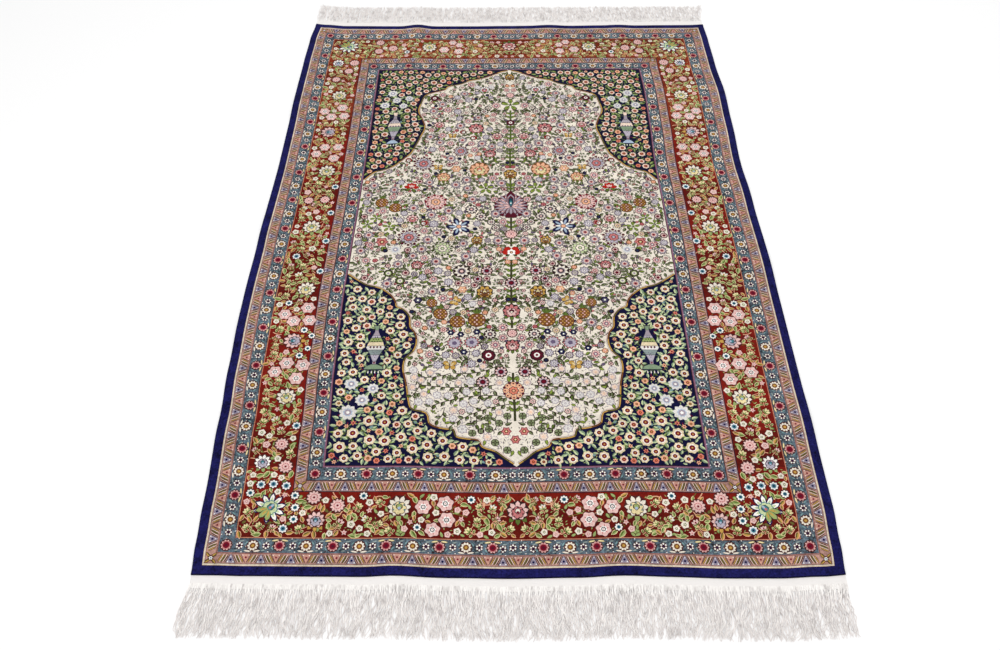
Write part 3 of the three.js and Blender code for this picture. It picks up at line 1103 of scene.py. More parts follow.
def guard_floret(u, v, inward):
    turn = math.atan2(-inward[1], -inward[0])
    at = facing(u, v, inward)
    for s in (-1, 1):
        for row in FLORET_DASHES:
            dash = petal(turn + s + row["along"], 3.4, 0.8, "point")
            lay([(row["yarn"], dash)], *at(row["out"] * s, row["along"] * s), level=LEAF)
        rimmed_leaf(at(-7 * s, 1), at(-8.4 * s, 7 * s), "guard_dark", "guard_grey", 2.4, 1.5)
    lay([("line_dark", circle(6.4, 7))], u, v, level=LEAF)
    for angle in ring_of(6, turn):
        lay([("white", circle(1.75, 4))], *polar(angle, 4.1, (u, v)))
    lay([("navy", circle(1.7, 4))], u, v)


def blue_guard(line, side_gaps, end_step, end_count):
    """A line of rosettes, crimson and brown in turn, with a small white floret between each two."""
    across, along = HALF_WIDTH - line, HALF_LENGTH - line
    step = 2 * along / side_gaps
    places = []
    for sign in (-1, 1):
        for i in range(side_gaps + 1):
            places.append((sign * across, -along + i * step, i, i not in (0, side_gaps), (-sign, 0)))
            if i < side_gaps:
                guard_floret(sign * across, -along + (i + 0.5) * step, (-sign, 0))
    for sign in (-1, 1):
        for half in (-1, 1):
            for i in range(1, end_count + 1):
                places.append((half * (across - i * end_step), sign * along, i, True, (0, -sign)))
            for i in range(end_count):
                guard_floret(half * (across - (i + 0.5) * end_step), sign * along, (0, -sign))
        left = across - end_count * end_step
        for share in (-0.6, -0.2, 0.2, 0.6):
            guard_floret(share * left, sign * (along + 3 * math.cos(share * 9)), (0, -sign))
    for u, v, i, bars, (ix, iy) in places:
        if i % 2:
            guard_rosette(u, v, "brown_guard", bars, (-ix, -iy))
        else:
            guard_rosette(u, v, "crimson_guard", bars, (ix, iy))


blue_guard(47.75, 32, 41.3, 10)
blue_guard(172.2, 28, 41.9, 7)

# The red border: the motifs that can be told apart
lay_table("""
corner -393 -614 22 -42
p_blue_white -415 -534 16 10
rosette -377 -540 12; -388 -498 11.5; -325 -595 12; -286 -609 12
p_pink_teal -318 -636 17
aster -413 -573 7.6; -393 -572 7.6; -372 -575 7.6; -428 -588 7; -356 -592 7; -353 -613 7
aster -353 -633 7; -368 -649 7.5; -246 -592 7; -158 -646 6.5; -74 -597 7; -368 -462 7.6
p_yellow -188 -614 22
hex -150 -611 12; -115 -604 12.5 15; -112 -632 12.5; -134 -649 11.5 15
p_lotus 0 -618 20
sprig -253 -612 8.75 -35
jasmine -262 -641 7
sprig_gold -238 -633 8.75 60
sprig_pink -281 -640 9.375 -35
sprig -219 -641 8.125 -60
jasmine_pink -178 -649 6
jasmine -95 -651 6.5
sprig_gold -40 -613 8.75 -15
sprig -64 -635 8.75
sprig_pink -27 -597 6.875 60
jasmine -41 -652 6
jasmine_pink -82 -619 6
sprig_gold -404 -453 10 30
sprig -425 -435 9.375 60
sprig_pink -393 -472 8.75 20
jasmine -424 -476 7
jasmine_pink -413 -499 7
p_yellow -391 -406 20 15; -386 -160 20 -20; -400 6 21 10; -394 174 21 -10; -397 436 20 10
hex -376 -204 12.5; -417 -220 11.5; -399 -236 12 15; -370 -234 12; -399 -332 12.5; -370 -336 12.5 15
hex -417 -351 11.5; -378 -365 12.5; -424 232 11; -384 218 11.5 15; -408 254 11; -379 255 11
hex -385 393 12; -424 379 11.5 15; -407 360 12; -378 363 11.5
p_pink_teal -392 -282 20 90; -404 306 20 90
aster -413 -193 7; -377 -257 7; -362 -270 6.5; -379 -315 7; -366 -299 6; -366 -112 7.6
aster -369 127 8; -368 49 7.5; -366 -31 8; -418 -73 8
rosette -385 88 10.5; -418 85 10
sprig_gold -404 -125 11.25 20
sprig_pink -424 -100 8.75
sprig -406 134 11.25 -15
jasmine_pink -424 110 8
jasmine -390 -52 8
sprig_pink -428 -38 8.75 30
sprig_gold -425 60 9.375 -35
jasmine_pink -398 52 7.5
sprig -384 -86 9.375 30
corner -399 634 22 -135
p_blue_white -415 563 16
rosette -376 566 12; -386 533 11; -322 651 11; -288 627 12; -322 615 11
p_yellow -198 634 21 180
hex -141 652 9.5; -124 641 9; -161 622 12; -125 615 11 15
aster -252 610 7
p_lotus 0 638 20 180
rosette -412 500 10
sprig_pink -384 480 10 -60
jasmine -420 470 7
sprig_gold -408 530 8.75 -60
jasmine_pink -72 640 7
sprig -40 612 8.75 20
jasmine -84 615 7
sprig_pink -44 648 8.75 -15
sprig_gold -232 640 8.75
jasmine_pink -262 640 7
""")
RED_FILL = """
kind radius share
sprig 9.0 0.05; sprig_pink 8.2 0.05; jasmine 6.4 0.03; sprig_gold 7.4 0.04; jasmine_pink 5.6 0.05
"""
RED_LEAVES = """
half longest yarn light edge share
3.6 15 green leaf_light pale_yellow 0.06; 3.1 13 olive gold peach 0.06; 2.4 10 leaf_light none line_dark 0.08
2.0 8 peach none line_dark 0.06; 0.9 6 leaf_light none none 0.1; 0.8 5 peach none none 0.1
0.9 6 line_dark none none 0.16
"""
RED_GREENS = "green leaf_light line_dark; olive none line_dark; leaf_light none green"
RED_BOXES = ((-438, -663, -361, 663), (-361, -663, -2, -586), (-361, 586, -2, 663))
red_band = in_band(PEACH_LINE, RED_BORDER)
for seed, (u0, v0, u1, v1) in enumerate(RED_BOXES, 14):
    box = (u0, v0, min(u1, -8), v1)
    share = (box[2] - u0) * (v1 - v0) / 100000
    stems = "olive peach line_dark line_dark"
    tangle(red_band, box, int(420 * share), int(260 * share), stems, RED_GREENS, seed)
for seed, box in enumerate(RED_BOXES, 11):
    fill(red_band, box, 6.5, RED_FILL, RED_LEAVES, "peach", seed)

# The navy corners: a vase in each, blue asters near it, and a meadow of daisies
taken.clear()
for name, u, v in (("near", -245, -297), ("far", -261, 325)):
    lay_both(vase(name), u, v)
    for height, radius in ((-48, 14), (-34, 8), (-18, 11), (0, 17), (18, 13), (34, 12), (48, 8)):
        take(u, v + height, radius)
lay_table("""
sky -284 -435 16 10; -261 -410 13; -281 -376 13 20; -243 -386 11
daisy -230 -427 10.5; -247 -452 11; -220 -455 10.5; -272 -476 11; -243 -489 10.5; -218 -491 11
daisy -191 -484 10; -292 -503 11.5; -171 -506 10.5; -147 -498 10; -118 -519 9.5; -93 -525 9
daisy -69 -526 9; -45 -529 6
sky -273 446 12; -262 420 11; -288 402 12; -234 425 10; -246 398 10
""", random.Random(41))
CORNER_FILL = """
kind radius share
daisy 9.0 0.022; daisy_warm 8.2 0.03; spark 6.8 0.07; daisy_pale 7.2 0.04; spark_red 5.6 0.05
spark 4.8 0.06
"""
CORNER_LEAVES = """
half longest yarn light edge share
3.6 14 sea leaf_pale none 0.14; 3.2 13 leaf_light green none 0.12; 2.2 11 guard_teal leaf_light none 0.06
1.9 8 green none none 0.2; 0.9 6 leaf_light none none 0.12; 0.9 5 salmon none none 0.06
1.0 6 moss none none 0.2
"""
FAR_FILL = """
kind radius share
daisy_warm 8.0 0.03; spark 6.8 0.07; daisy_pale 7.2 0.02; spark_red 5.8 0.06; spark 4.8 0.06
"""
FAR_LEAVES = """
half longest yarn light edge share
3.4 13 green leaf_light none 0.12; 3.0 12 sea none none 0.12; 2.0 10 guard_teal none none 0.06
0.9 6 leaf_light none none 0.1; 1.0 6 moss none none 0.2
"""
CORNER_GREENS = "green sea none; guard_teal none none; moss green none"
NEAR_BOX, FAR_BOX = (-312, -537, -2, -118), (-312, 148, -2, 537)
for zone, box, seed in ((NEAR_ZONE, NEAR_BOX, 23), (FAR_ZONE, FAR_BOX, 24)):
    tangle(within(zone, 1.0), box, 260, 420, "moss green crimson", CORNER_GREENS, seed)
fill(within(NEAR_ZONE, 2.0), NEAR_BOX, 5.6, CORNER_FILL, CORNER_LEAVES, "green", 21, True, 2.2)
fill(within(FAR_ZONE, 2.0), FAR_BOX, 5.6, FAR_FILL, FAR_LEAVES, "green", 22, False, 2.2)

# The cream field
taken.clear()
lay_table("""
tulip -208 123 16
pinecone -266 79 13; -237 63 13; -148 -191 10; -131 -217 13; -100 -235 14; -64 -231 16
petal_ring -155 82 24
grand 0 70 40
butterfly -155 189 12; -103 -186 13 60; -111 -335 14; -129 294 11
peach_floret -116 185 11; -92 -157 9
p_peach -66 180 25
green_leaves -52 124 17
navy_leaves -105 11 26 20
p_gold_brown -68 -29 13
bud_ring -135 -50 22
lilac_ring -203 -21 24; -187 201 24
lilac_aster -156 18 11; -169 -127 9; -140 -110 10; -119 -138 10
navy_floret -174 -185 8
lilac_aster -96 423 10
p_lotus -200 30 14
rosette_grey -61 40 11; -81 61 12
grey_floret -40 24 8; -31 8 8
p_peach -142 156 16
red_floret -255 -34 12
sky -227 -55 12
green_leaves -290 16 13; -245 8 14; -274 34 12 30
wine_floret -47 -109 11; -64 -130 8; 0 -140 12
rosette_grey -95 -110 16
moss_ring -235 -118 9; -211 -137 9.5
wine_floret -202 -116 7
p_wine -182 -97 13
p_gold_brown -50 -165 18
navy_floret -111 -261 6; -93 -265 6; -64 -259 6.5; -135 -298 6; -87 -305 6.5
wine_ring -104 -285 14; -73 -283 14
rosette_grey -40 -264 10.5
eye -43 -312 12
wine_floret -21 -348 11; -53 -370 11
p_wine 0 -212 19
lilac_aster -132 -334 10; -73 -331 9
peach_ring 0 -388 20
red_floret 0 -486 8; -15 -470 8
clover -13 -440 6.2 45; -27 -454 6.2 45; -46 -444 6.2 45; -44 -466 6.2 45; -72 -474 6.2 45
clover -34 -492 6.2 45; -14 -506 6.2 45
p_wine 0 -292 15
rosette 0 -262 9; 0 -10 12
pomegranate 0 -60 18
eye 0 340 9
p_wine -77 317 20
green_leaves 0 404 22
eye -175 429 9
p_gold_brown 0 508 13
rosette 0 440 9
p_gold_brown 0 166 17
pink_floret 0 262 10
p_lotus -30 290 14
p_wine -44 232 15
lilac_ring -108 243 18
pink_floret -150 250 9
p_lotus -160 330 14
lilac_aster -120 380 10
grey_floret -60 380 9
pink_floret -40 350 8
grey_floret -140 420 8
p_grey -60 460 13
""")

# The dark trunk on the middle line, with a pair of leaves at each step
for row in rows_of("""
low high
-450 -350; -250 -232; -196 -80; -44 -20; 0 40; 100 150; 186 252; 276 330; 350 384
"""):
    low, high = row["low"], row["high"]
    paint(LEAF, "outline", rectangle(-2.2, low, 2.2, high), "front")
    paint(LEAF, "green" if low > 0 else "moss", rectangle(-1.1, low, 1.1, high), "front")
    for k in range(int((high - low) / 13)):
        v = low + 7 + 13 * k
        if nearest(-5, v + 2)[0] > 2:
            lay_both(leaf(11, 2.8, "lime", "green", "outline", 0.1), -1.6, v, 0.9, LEAF)


def branch(start, end, bow, bud):
    """A thin branch with slender leaves at each side by turns and a flower here and there."""
    (u0, v0), (u1, v1) = start, end
    length = math.hypot(u1 - u0, v1 - v0)
    nx, ny = -(v1 - v0) / length, (u1 - u0) / length
    at = line_between(start, end)
    steps = max(3, int(length / 8))
    for k in range(1, steps + 1):
        t = k / steps
        u, v = at(t, bow * 4 * t * (1 - t))
        heading = math.atan2(v1 - v0, u1 - u0) + bow / length * 4 * (1 - 2 * t)
        side = 1 if k % 2 else -1
        shapes = leaf(10.5, 2.7, "sage" if k % 3 else "green", "moss", "outline", 0.1)
        lay_both(shapes, u, v, heading - UP + side * 0.8, LEAF)
        take(u, v, 3.6)
        x, y = u + nx * 10 * side, v + ny * 10 * side
        if k % 4 == 0 and nearest(x, y)[0] > 5.4 and x < -8:
            lay_both(make(bud, 6.4)[0], x, y)
            take(x, y, 6.4)
    paint_both(LEAF, "outline", stem(start, end, bow, 1.5, 6), "front")


for row in rows_of("""
u0 v0 u1 v1 bow bud
-30 -376 -160 -378 5 shell_star; -12 -400 -144 -422 -10 frost_star; -8 -416 -108 -460 -8 frost_star
-60 -372 -60 -410 3 frost_star; -90 -378 -100 -400 2 shell_star; -120 -424 -132 -450 3 frost_star
-70 -434 -66 -458 3 frost_star; -160 -350 -176 -402 6 shell_star; -110 -352 -160 -362 3 shell_star
-20 -330 -100 -352 8 shell_star; -8 -180 -96 -200 10 frost_star; -100 -160 -170 -150 -8 pink_floret
-8 110 -44 100 -4 frost_star; -8 205 -80 215 8 frost_star; -12 420 -80 440 8 lilac_aster
-14 385 -100 360 -8 grey_floret; -12 470 -100 466 8 frost_star
"""):
    branch((row["u0"], row["v0"]), (row["u1"], row["v1"]), row["bow"], row["bud"])
FIELD_FILL = """
kind radius share
lace 11.0 0.004; spray 12.5 0.014; lace_rose 10.0 0.003; p_pale 11.5 0.004; bud_ring 11.0 0.002
lilac_aster 9.0 0.003; spray_rose 11.0 0.014; straw_star 8.4 0.005; p_red 8.6 0.002; white_star 8.6 0.006
spray_lilac 10.0 0.003; pink_star 8.0 0.003; grey_star 7.6 0.006; trefoil 8.4 0.006; twin_leaves 8.5 0.012
wine_floret 6.6 0.002; pink_floret 5.9 0.002; peach_floret 5.7 0.003; navy_floret 4.4 0.002
red_floret 4.4 0.001
"""
LOBE_FILL = """
kind radius share
frost_star 7.6 0.0032; shell_star 7.0 0.003; spray_moss 11.0 0.008; clover 5.6 0.0012
twin_leaves 7.6 0.008; pink_floret 5.4 0.0012
"""
FIELD_LEAVES = """
half longest yarn light edge share
2.9 11 sage moss outline 0.04; 2.8 10 lime green outline 0.06; 2.1 8 straw none outline 0.02
1.9 7 rose none outline 0.01; 1.05 8 outline none none 0.2; 1.05 6 moss none none 0.08
0.9 6 lilac_deep none none 0.06
"""
LOBE_LEAVES = """
half longest yarn light edge share
2.6 11 sage moss outline 0.008; 2.3 10 lime none outline 0.008; 0.9 9 outline none none 0.05
0.8 7 grey_lilac none none 0.1
"""
FIELD_GREENS = "moss green outline; sage moss outline; lilac_deep none outline; rose none outline"
LOBE_BOX, FIELD_BOX = (-312, -537, -1, -340), (-312, -340, -1, 537)
field = within(FIELD_ZONE, 3.0)
tangle(field, LOBE_BOX, 120, 0, "outline grey_lilac", FIELD_GREENS, 32)
tangle(field, FIELD_BOX, 1400, 800, "outline outline moss lilac_deep", FIELD_GREENS, 33)
fill(within(FIELD_ZONE, 5.6), LOBE_BOX, 5.2, LOBE_FILL, LOBE_LEAVES, "outline", 30)
fill(within(FIELD_ZONE, 5.6), FIELD_BOX, 5.2, FIELD_FILL, FIELD_LEAVES, "outline", 31)


# The chart made into flat triangles, each with the yarn of the last shape that covers it
PIECES = ("outer_guards", "red_near", "red_far", "inner_guards", "field_near", "field_far")


def piece_of(places):
    """Which of the pile's pieces each place belongs to."""
    inset = inset_of(places)
    far = places[:, 1] > 0
    number = np.where(inset < MAUVE_LINE, 3, np.where(far, 5, 4))
    number = np.where(inset < RED_BORDER, np.where(far, 2, 1), number)
    return np.where(inset < PEACH_LINE, 0, number)


def support_points(pitch):
    """Extra places near the edges, so that the ripples there come out round."""
    columns, rows = int(PILE_WIDTH / pitch), int(PILE_LENGTH / pitch)
    across = [-HALF_WIDTH + PILE_WIDTH * i / columns for i in range(columns + 1)]
    along = [-HALF_LENGTH + PILE_LENGTH * j / rows for j in range(rows + 1)]
    spots = np.array([(u, v) for u in across for v in along])
    return spots[inset_of(spots) < RIPPLE_DEPTH + pitch]


# Labels of triangles that belong to no yarn
UNKNOWN, OUTSIDE = -2, -1


def all_facing(sign, plan, triangles):
    """Triangles that all face up, or with a negative sign down."""
    a, b, c = (plan[triangles[:, k]] for k in range(3))
    area = (b[:, 0] - a[:, 0]) * (c[:, 1] - a[:, 1]) - (b[:, 1] - a[:, 1]) * (c[:, 0] - a[:, 0])
    wrong = sign * area < 0
    triangles[wrong] = triangles[wrong][:, ::-1]
    return triangles


def half_edges(triangles, size):
    """Each triangle's three directed edges, with the number of the same edge seen from beyond it."""
    edges = np.concatenate([triangles[:, [0, 1]], triangles[:, [1, 2]], triangles[:, [2, 0]]])
    keys = edges[:, 0] * size + edges[:, 1]
    order = np.argsort(keys)
    opposite = edges[:, 1] * size + edges[:, 0]
    found = np.clip(np.searchsorted(keys[order], opposite), 0, len(keys) - 1)
    other = order[found]
    return edges, np.where(keys[other] == opposite, other, -1)


def outlines_between(plan, triangles, labels):
    """The edges at which two labels meet, with the label at the left and the one at the right."""
    edges, other = half_edges(triangles, len(plan))
    left = np.tile(labels, 3)
    right = np.where(other >= 0, left[other], OUTSIDE)
    kept = (left != right) & ((other < 0) | (edges[:, 0] < edges[:, 1]))
    return edges[kept], left[kept], right[kept]


def straightened(plan, edges, left, right, slack, passes=9):
    """Leaves out the places at which an outline hardly turns."""
    size = len(plan)
    rank_of = np.random.default_rng(5)
    for _ in range(passes):
        ends = edges.ravel()
        owner = np.repeat(np.arange(len(edges)), 2)
        order = np.argsort(ends, kind="stable")
        count = np.bincount(ends, minlength=size)
        first = np.cumsum(count) - count
        middle = np.flatnonzero(count == 2)
        one, two = owner[order[first[middle]]], owner[order[first[middle] + 1]]
        p, q = edges[one].sum(axis=1) - middle, edges[two].sum(axis=1) - middle
        run, away = plan[q] - plan[p], plan[middle] - plan[p]
        length = np.maximum(np.hypot(run[:, 0], run[:, 1]), 1e-9)
        off = np.abs(run[:, 0] * away[:, 1] - run[:, 1] * away[:, 0]) / length
        share = (run * away).sum(axis=1) / length**2
        longest = np.where(inset_of(plan[middle]) < RIPPLE_DEPTH + 14, LONGEST_EDGE, 2 * LONGEST_EDGE)
        fine = (p != q) & (off < slack) & (length < longest) & (share > 0) & (share < 1)
        rank = np.full(size, -1.0)
        rank[middle[fine]] = rank_of.random(int(fine.sum()))
        fine &= (rank[middle] > rank[p]) & (rank[middle] > rank[q])
        key = np.minimum(p, q) * size + np.maximum(p, q)
        fine &= ~np.isin(key, edges.min(axis=1) * size + edges.max(axis=1))
        chosen = np.flatnonzero(fine)
        chosen = chosen[np.unique(key[chosen], return_index=True)[1]]
        if len(chosen) == 0:
            break
        one, two = one[chosen], two[chosen]
        forward = edges[one, 1] == middle[chosen]
        kept = np.ones(len(edges), bool)
        kept[one] = kept[two] = False
        new_left = np.where(forward, left[one], right[one])
        new_right = np.where(forward, right[one], left[one])
        edges = np.concatenate([edges[kept], np.stack([p[chosen], q[chosen]], axis=1)])
        left, right = np.concatenate([left[kept], new_left]), np.concatenate([right[kept], new_right])
    return edges, left, right


def labels_between(plan, triangles, edges, left, right):
    """A label for each triangle, from the outlines that meet at its corners."""
    run = plan[edges[:, 1]] - plan[edges[:, 0]]
    angle = np.arctan2(run[:, 1], run[:, 0])
    backwards = np.where(angle > 0, angle - math.pi, angle + math.pi)
    start = np.concatenate([edges[:, 0], edges[:, 1]])
    keys = start * 8.0 + np.concatenate([angle, backwards]) + math.pi
    side = np.concatenate([left, right])
    order = np.argsort(keys)
    keys, start, side = keys[order], start[order], side[order]
    count = np.bincount(start, minlength=len(plan))
    last = np.cumsum(count) - 1
    centre = plan[triangles].mean(axis=1)
    votes = []
    for corner in triangles.T:
        away = centre - plan[corner]
        wanted = corner * 8.0 + np.arctan2(away[:, 1], away[:, 0]) + math.pi
        found = np.searchsorted(keys, wanted, "right") - 1
        found = np.where((found < 0) | (start[found] != corner), last[corner], found)
        votes.append(np.where(count[corner] > 0, side[found], UNKNOWN))
    a, b, c = votes
    known = [vote > UNKNOWN for vote in votes]
    labels = np.where((b == c) & known[1], b, np.where(known[0], a, np.where(known[1], b, c)))
    other = half_edges(triangles, len(plan))[1].reshape(3, -1)
    while (labels == UNKNOWN).any():
        open_ones = np.flatnonzero(labels == UNKNOWN)
        for k in range(3):
            beyond = other[k, open_ones]
            value = np.where(beyond >= 0, labels[beyond % len(triangles)], UNKNOWN)
            labels[open_ones] = np.maximum(labels[open_ones], value)
        if (labels[open_ones] == UNKNOWN).all():
            labels[open_ones] = OUTSIDE
    return labels


def covers(points, u, v):
    """Whether a closed outline has a place inside it."""
    inside = False
    u0, v0 = points[-1]
    for u1, v1 in points:
        if (v0 > v) != (v1 > v) and u < u0 + (v - v0) / (v1 - v0) * (u1 - u0):
            inside = not inside
        u0, v0 = u1, v1
    return inside


def topmost(shapes, ids, place):
    """The last painted of the shapes that cover a place."""
    for k in sorted(ids, reverse=True):
        if shapes[k][0] < STEM or covers(shapes[k][3], *place):
            return k
    return 0


def cut_up(places, edges, outlines, near=1e-4):
    """Triangles over places, edges and outlines, with what each place, edge and triangle comes from."""
    made = delaunay_2d_cdt([Vector(p) for p in places], edges, outlines, 0, near, True)
    plan = np.array([(p[0], p[1]) for p in made[0]])
    return plan, np.array(made[2]), np.array(made[1]), made[3:]


def triangulated(shown, slack=0.07):
    shapes = sorted((s for s in chart if s[2] in ("both", shown)), key=lambda s: s[0])
    corners, outlines = [], []
    for shape in shapes:
        outlines.append(list(range(len(corners), len(corners) + len(shape[3]))))
        corners += shape[3]
    middle = len(corners)
    steps = math.ceil(PILE_WIDTH / LONGEST_EDGE)
    corners += [(-HALF_WIDTH + PILE_WIDTH * k / steps, 0) for k in range(steps + 1)]
    across = [(middle + k, middle + k + 1) for k in range(steps)]
    plan, triangles, _, origins = cut_up(corners, across, outlines)
    triangles = all_facing(1, plan, triangles)
    middles = plan[triangles].mean(axis=1)
    numbers = np.array([YARN_NUMBER[shape[1]] for shape in shapes])
    labels = numbers[[topmost(shapes, ids, place) for ids, place in zip(origins[2], middles.tolist())]]
    labels = labels * 10 + (piece_of(middles) if shown == "front" else 0)
    edges, left, right = straightened(plan, *outlines_between(plan, triangles, labels), slack)
    used, flat = np.unique(edges, return_inverse=True)
    edges, source = flat.reshape(edges.shape), plan[used]
    plan, triangles, new_edges, origins = cut_up([*source, *support_points(15.0)], edges.tolist(), [])
    triangles = all_facing(1, plan, triangles)
    kept = [k for k, ids in enumerate(origins[1]) if ids]
    origin, new_edges = np.array([origins[1][k][0] for k in kept]), new_edges[kept]
    run = plan[new_edges[:, 1]] - plan[new_edges[:, 0]]
    known = source[edges[origin, 1]] - source[edges[origin, 0]]
    same = (run * known).sum(axis=1) > 0
    left, right = np.where(same, left[origin], right[origin]), np.where(same, right[origin], left[origin])
    labels = labels_between(plan, triangles, new_edges, left, right)
    limits = np.array([HALF_WIDTH, HALF_LENGTH])
    good = labels > OUTSIDE
    return np.clip(plan, -limits, limits), triangles[good], labels[good] // 10, labels[good] % 10


def linked(name, data):
    made = bpy.data.objects.new(name, data)
    bpy.context.scene.collection.objects.link(made)
    return made


def piece_object(name, mesh, node):
    made = linked(name, mesh)
    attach(made, "root")
    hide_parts(node)
    return made


def mesh_object(name, places, faces, material, sharp=True):
    mesh = bpy.data.meshes.new(name)
    mesh.from_pydata(places, [], faces)
    mesh.materials.append(material)
    mesh.update()
    mesh.shade_smooth()
    if sharp:
        mesh.set_sharp_from_angle(angle=math.radians(35))
    return piece_object(name, mesh, "rug_body")


def closed_piece(name, plan, triangles, yarns, detailed, plain, keep, material):
    """A closed piece: the chart on one face, a plain face opposite, and walls between them."""
    used, flat = np.unique(triangles, return_inverse=True)
    triangles = flat.reshape(triangles.shape)
    plan = plan[used]
    size = len(plan)
    edges, other = half_edges(triangles, size)
    rim_edges = edges[other < 0]
    rim_yarns = np.tile(yarns, 3)[other < 0]
    rim = np.unique(rim_edges)
    position = np.full(size, -1)
    position[rim] = np.arange(len(rim))
    _, capping, _, origins = cut_up(plan[rim], position[rim_edges].tolist(), [], 1e-5)
    capping = np.array([ids[0] for ids in origins[0]])[capping]
    capping = all_facing(-1, plan[rim], capping[keep(plan[rim][capping].mean(axis=1))])
    (start, end), (low_start, low_end) = rim_edges.T, size + position[rim_edges].T
    walls = [np.stack(three, axis=1) for three in ((end, start, low_start), (end, low_start, low_end))]
    walls = np.concatenate(walls)
    faces = np.concatenate([triangles, walls, size + capping])
    capping_yarns = np.full(len(capping), YARN_NUMBER["foundation"])
    face_yarns = np.concatenate([yarns, rim_yarns, rim_yarns, capping_yarns])
    if detailed(plan[:1])[0] < plain(plan[:1])[0]:
        faces = faces[:, ::-1]
    both = np.concatenate([plan, plan[rim]])
    places = placed(both, np.concatenate([detailed(plan), plain(plan[rim])]))
    made = mesh_object(name, places.tolist(), faces.tolist(), material)
    colour = made.data.color_attributes.new("yarn", "FLOAT_COLOR", "CORNER")
    colour.data.foreach_set("color", np.repeat(YARN_LINEAR[face_yarns], 3, axis=0).ravel())
    # In the map for baking, the plain face and the walls lie in two narrow strips under the chart
    count = np.array([len(triangles), len(walls), len(capping)]) * 3
    foot, tall = np.repeat([0.06, 0.045, 0.0], count), np.repeat([0.94, 0.01, 0.04], count)
    spread = np.array([PILE_WIDTH, PILE_LENGTH])
    corner_plan = (both[faces.ravel()] + spread / 2) / spread
    corner_map = np.stack([corner_plan[:, 0], foot + tall * corner_plan[:, 1]], axis=1)
    made.data.uv_layers.new(name="OFBake").data.foreach_set("uv", corner_map.ravel())
    return made


def feed(tree, socket, value):
    if isinstance(value, bpy.types.NodeSocket):
        tree.links.new(value, socket)
    else:
        socket.default_value = value


def add_node(tree, kind, values=None, **settings):
    made = tree.nodes.new(kind)
    for name, value in settings.items():
        setattr(made, name, value)
    for key, value in (values or {}).items():
        feed(tree, made.inputs[key], value)
    return made


def maths(tree, operation, a, b=0.0, c=0.0):
    return add_node(tree, "ShaderNodeMath", {0: a, 1: b, 2: c}, operation=operation).outputs[0]


def helpers(tree):
    """Short forms for one tree: a node, a sum, a vector of three numbers and a noise."""

    def add(kind, values=None, **settings):
        return add_node(tree, kind, values, **settings)

    def vector(*parts):
        return add("ShaderNodeCombineXYZ", dict(enumerate(parts))).outputs[0]

    def noise(place, scale, detail):
        return add("ShaderNodeTexNoise", {"Vector": place, "Scale": scale, "Detail": detail}).outputs[0]

    return add, lambda *terms: maths(tree, *terms), vector, noise


def open_group(name, kind, inputs, outputs):
    """A new node group with named inputs and outputs, each with its kind and perhaps a first value."""
    tree = bpy.data.node_groups.new(name, kind)
    for way, rows in (("INPUT", inputs), ("OUTPUT", outputs)):
        for label, socket_kind, *value in rows:
            socket = tree.interface.new_socket(label, in_out=way, socket_type="NodeSocket" + socket_kind)
            if value:
                socket.default_value = value[0]
    return tree, tree.nodes.new("NodeGroupInput").outputs, tree.nodes.new("NodeGroupOutput")


def knotting_group():
    """Knots in a grid, each a little different in tone, with broad patches of painted sheen, blotches partly
    of painted sheen, streaks along the wefts and relief.
    """
    inputs = [("Color", "Color"), ("Mottle", "Float", 0.3), ("Knot Pitch", "Float", KNOT_PITCH)]
    inputs.append(("Unevenness", "Float", 1.0))
    outputs = [("Color", "Color"), ("Height", "Float")]
    group, entry, leave = open_group("knotting", "ShaderNodeTree", inputs, outputs)
    add, m, vector, noise = helpers(group)

    def off_middle(value, amount):
        return m("MULTIPLY", m("SUBTRACT", value, 0.5), amount)

    place = add("ShaderNodeTexCoord").outputs["Object"]
    split = add("ShaderNodeSeparateXYZ", {0: place}).outputs
    column, row = (m("DIVIDE", split[k], entry["Knot Pitch"]) for k in (0, 1))
    cell = vector(m("FLOOR", column), m("FLOOR", row), 0.0)
    speck = add("ShaderNodeTexWhiteNoise", {"Vector": cell}, noise_dimensions="3D").outputs["Value"]
    stretched = add("ShaderNodeMapping", {"Vector": place, "Scale": (1.2, 46.0, 1.0)}).outputs[0]
    # Painted sheen: the broad patches of the coarse noise make the pile lighter and darker as if its lie
    # caught the light; the knots' own tone and the streaks along the wefts differ at random
    tone_and_sheen = m("ADD", off_middle(speck, 0.26), off_middle(noise(place, 9.0, 2.0), 0.25))
    tone_and_sheen = m("ADD", tone_and_sheen, off_middle(noise(stretched, 1.0, 3.0), 0.4))
    # Blotches scaled by each yarn's mottle: partly uneven dyeing, and in the navy edge partly painted sheen
    blotch = m("ADD", off_middle(noise(place, 60.0, 3.0), 1.3), off_middle(noise(place, 330.0, 1.0), 1.5))
    total = m("MULTIPLY_ADD", blotch, entry["Mottle"], tone_and_sheen)
    value = m("MULTIPLY_ADD", total, entry["Unevenness"], 1.0)
    toned = add("ShaderNodeHueSaturation", {"Color": entry["Color"], "Value": value})
    waves = [m("SQRT", m("ABSOLUTE", m("SINE", m("MULTIPLY", run, math.pi)))) for run in (column, row)]
    height = m("MULTIPLY_ADD", speck, 0.5, m("MULTIPLY", *waves))
    feed(group, leave.inputs["Color"], toned.outputs[0])
    feed(group, leave.inputs["Height"], height)
    return group


def new_material(name, roughness, specular):
    made = bpy.data.materials.new(name)
    made.use_nodes = True
    shader = made.node_tree.nodes["Principled BSDF"]
    shader.inputs["Roughness"].default_value = roughness
    shader.inputs["Specular IOR Level"].default_value = specular
    return made, made.node_tree, shader


def add_relief(tree, shader, height, strength, distance):
    relief = add_node(tree, "ShaderNodeBump", {"Height": height, "Strength": strength, "Distance": distance})
    feed(tree, shader.inputs["Normal"], relief.outputs["Normal"])


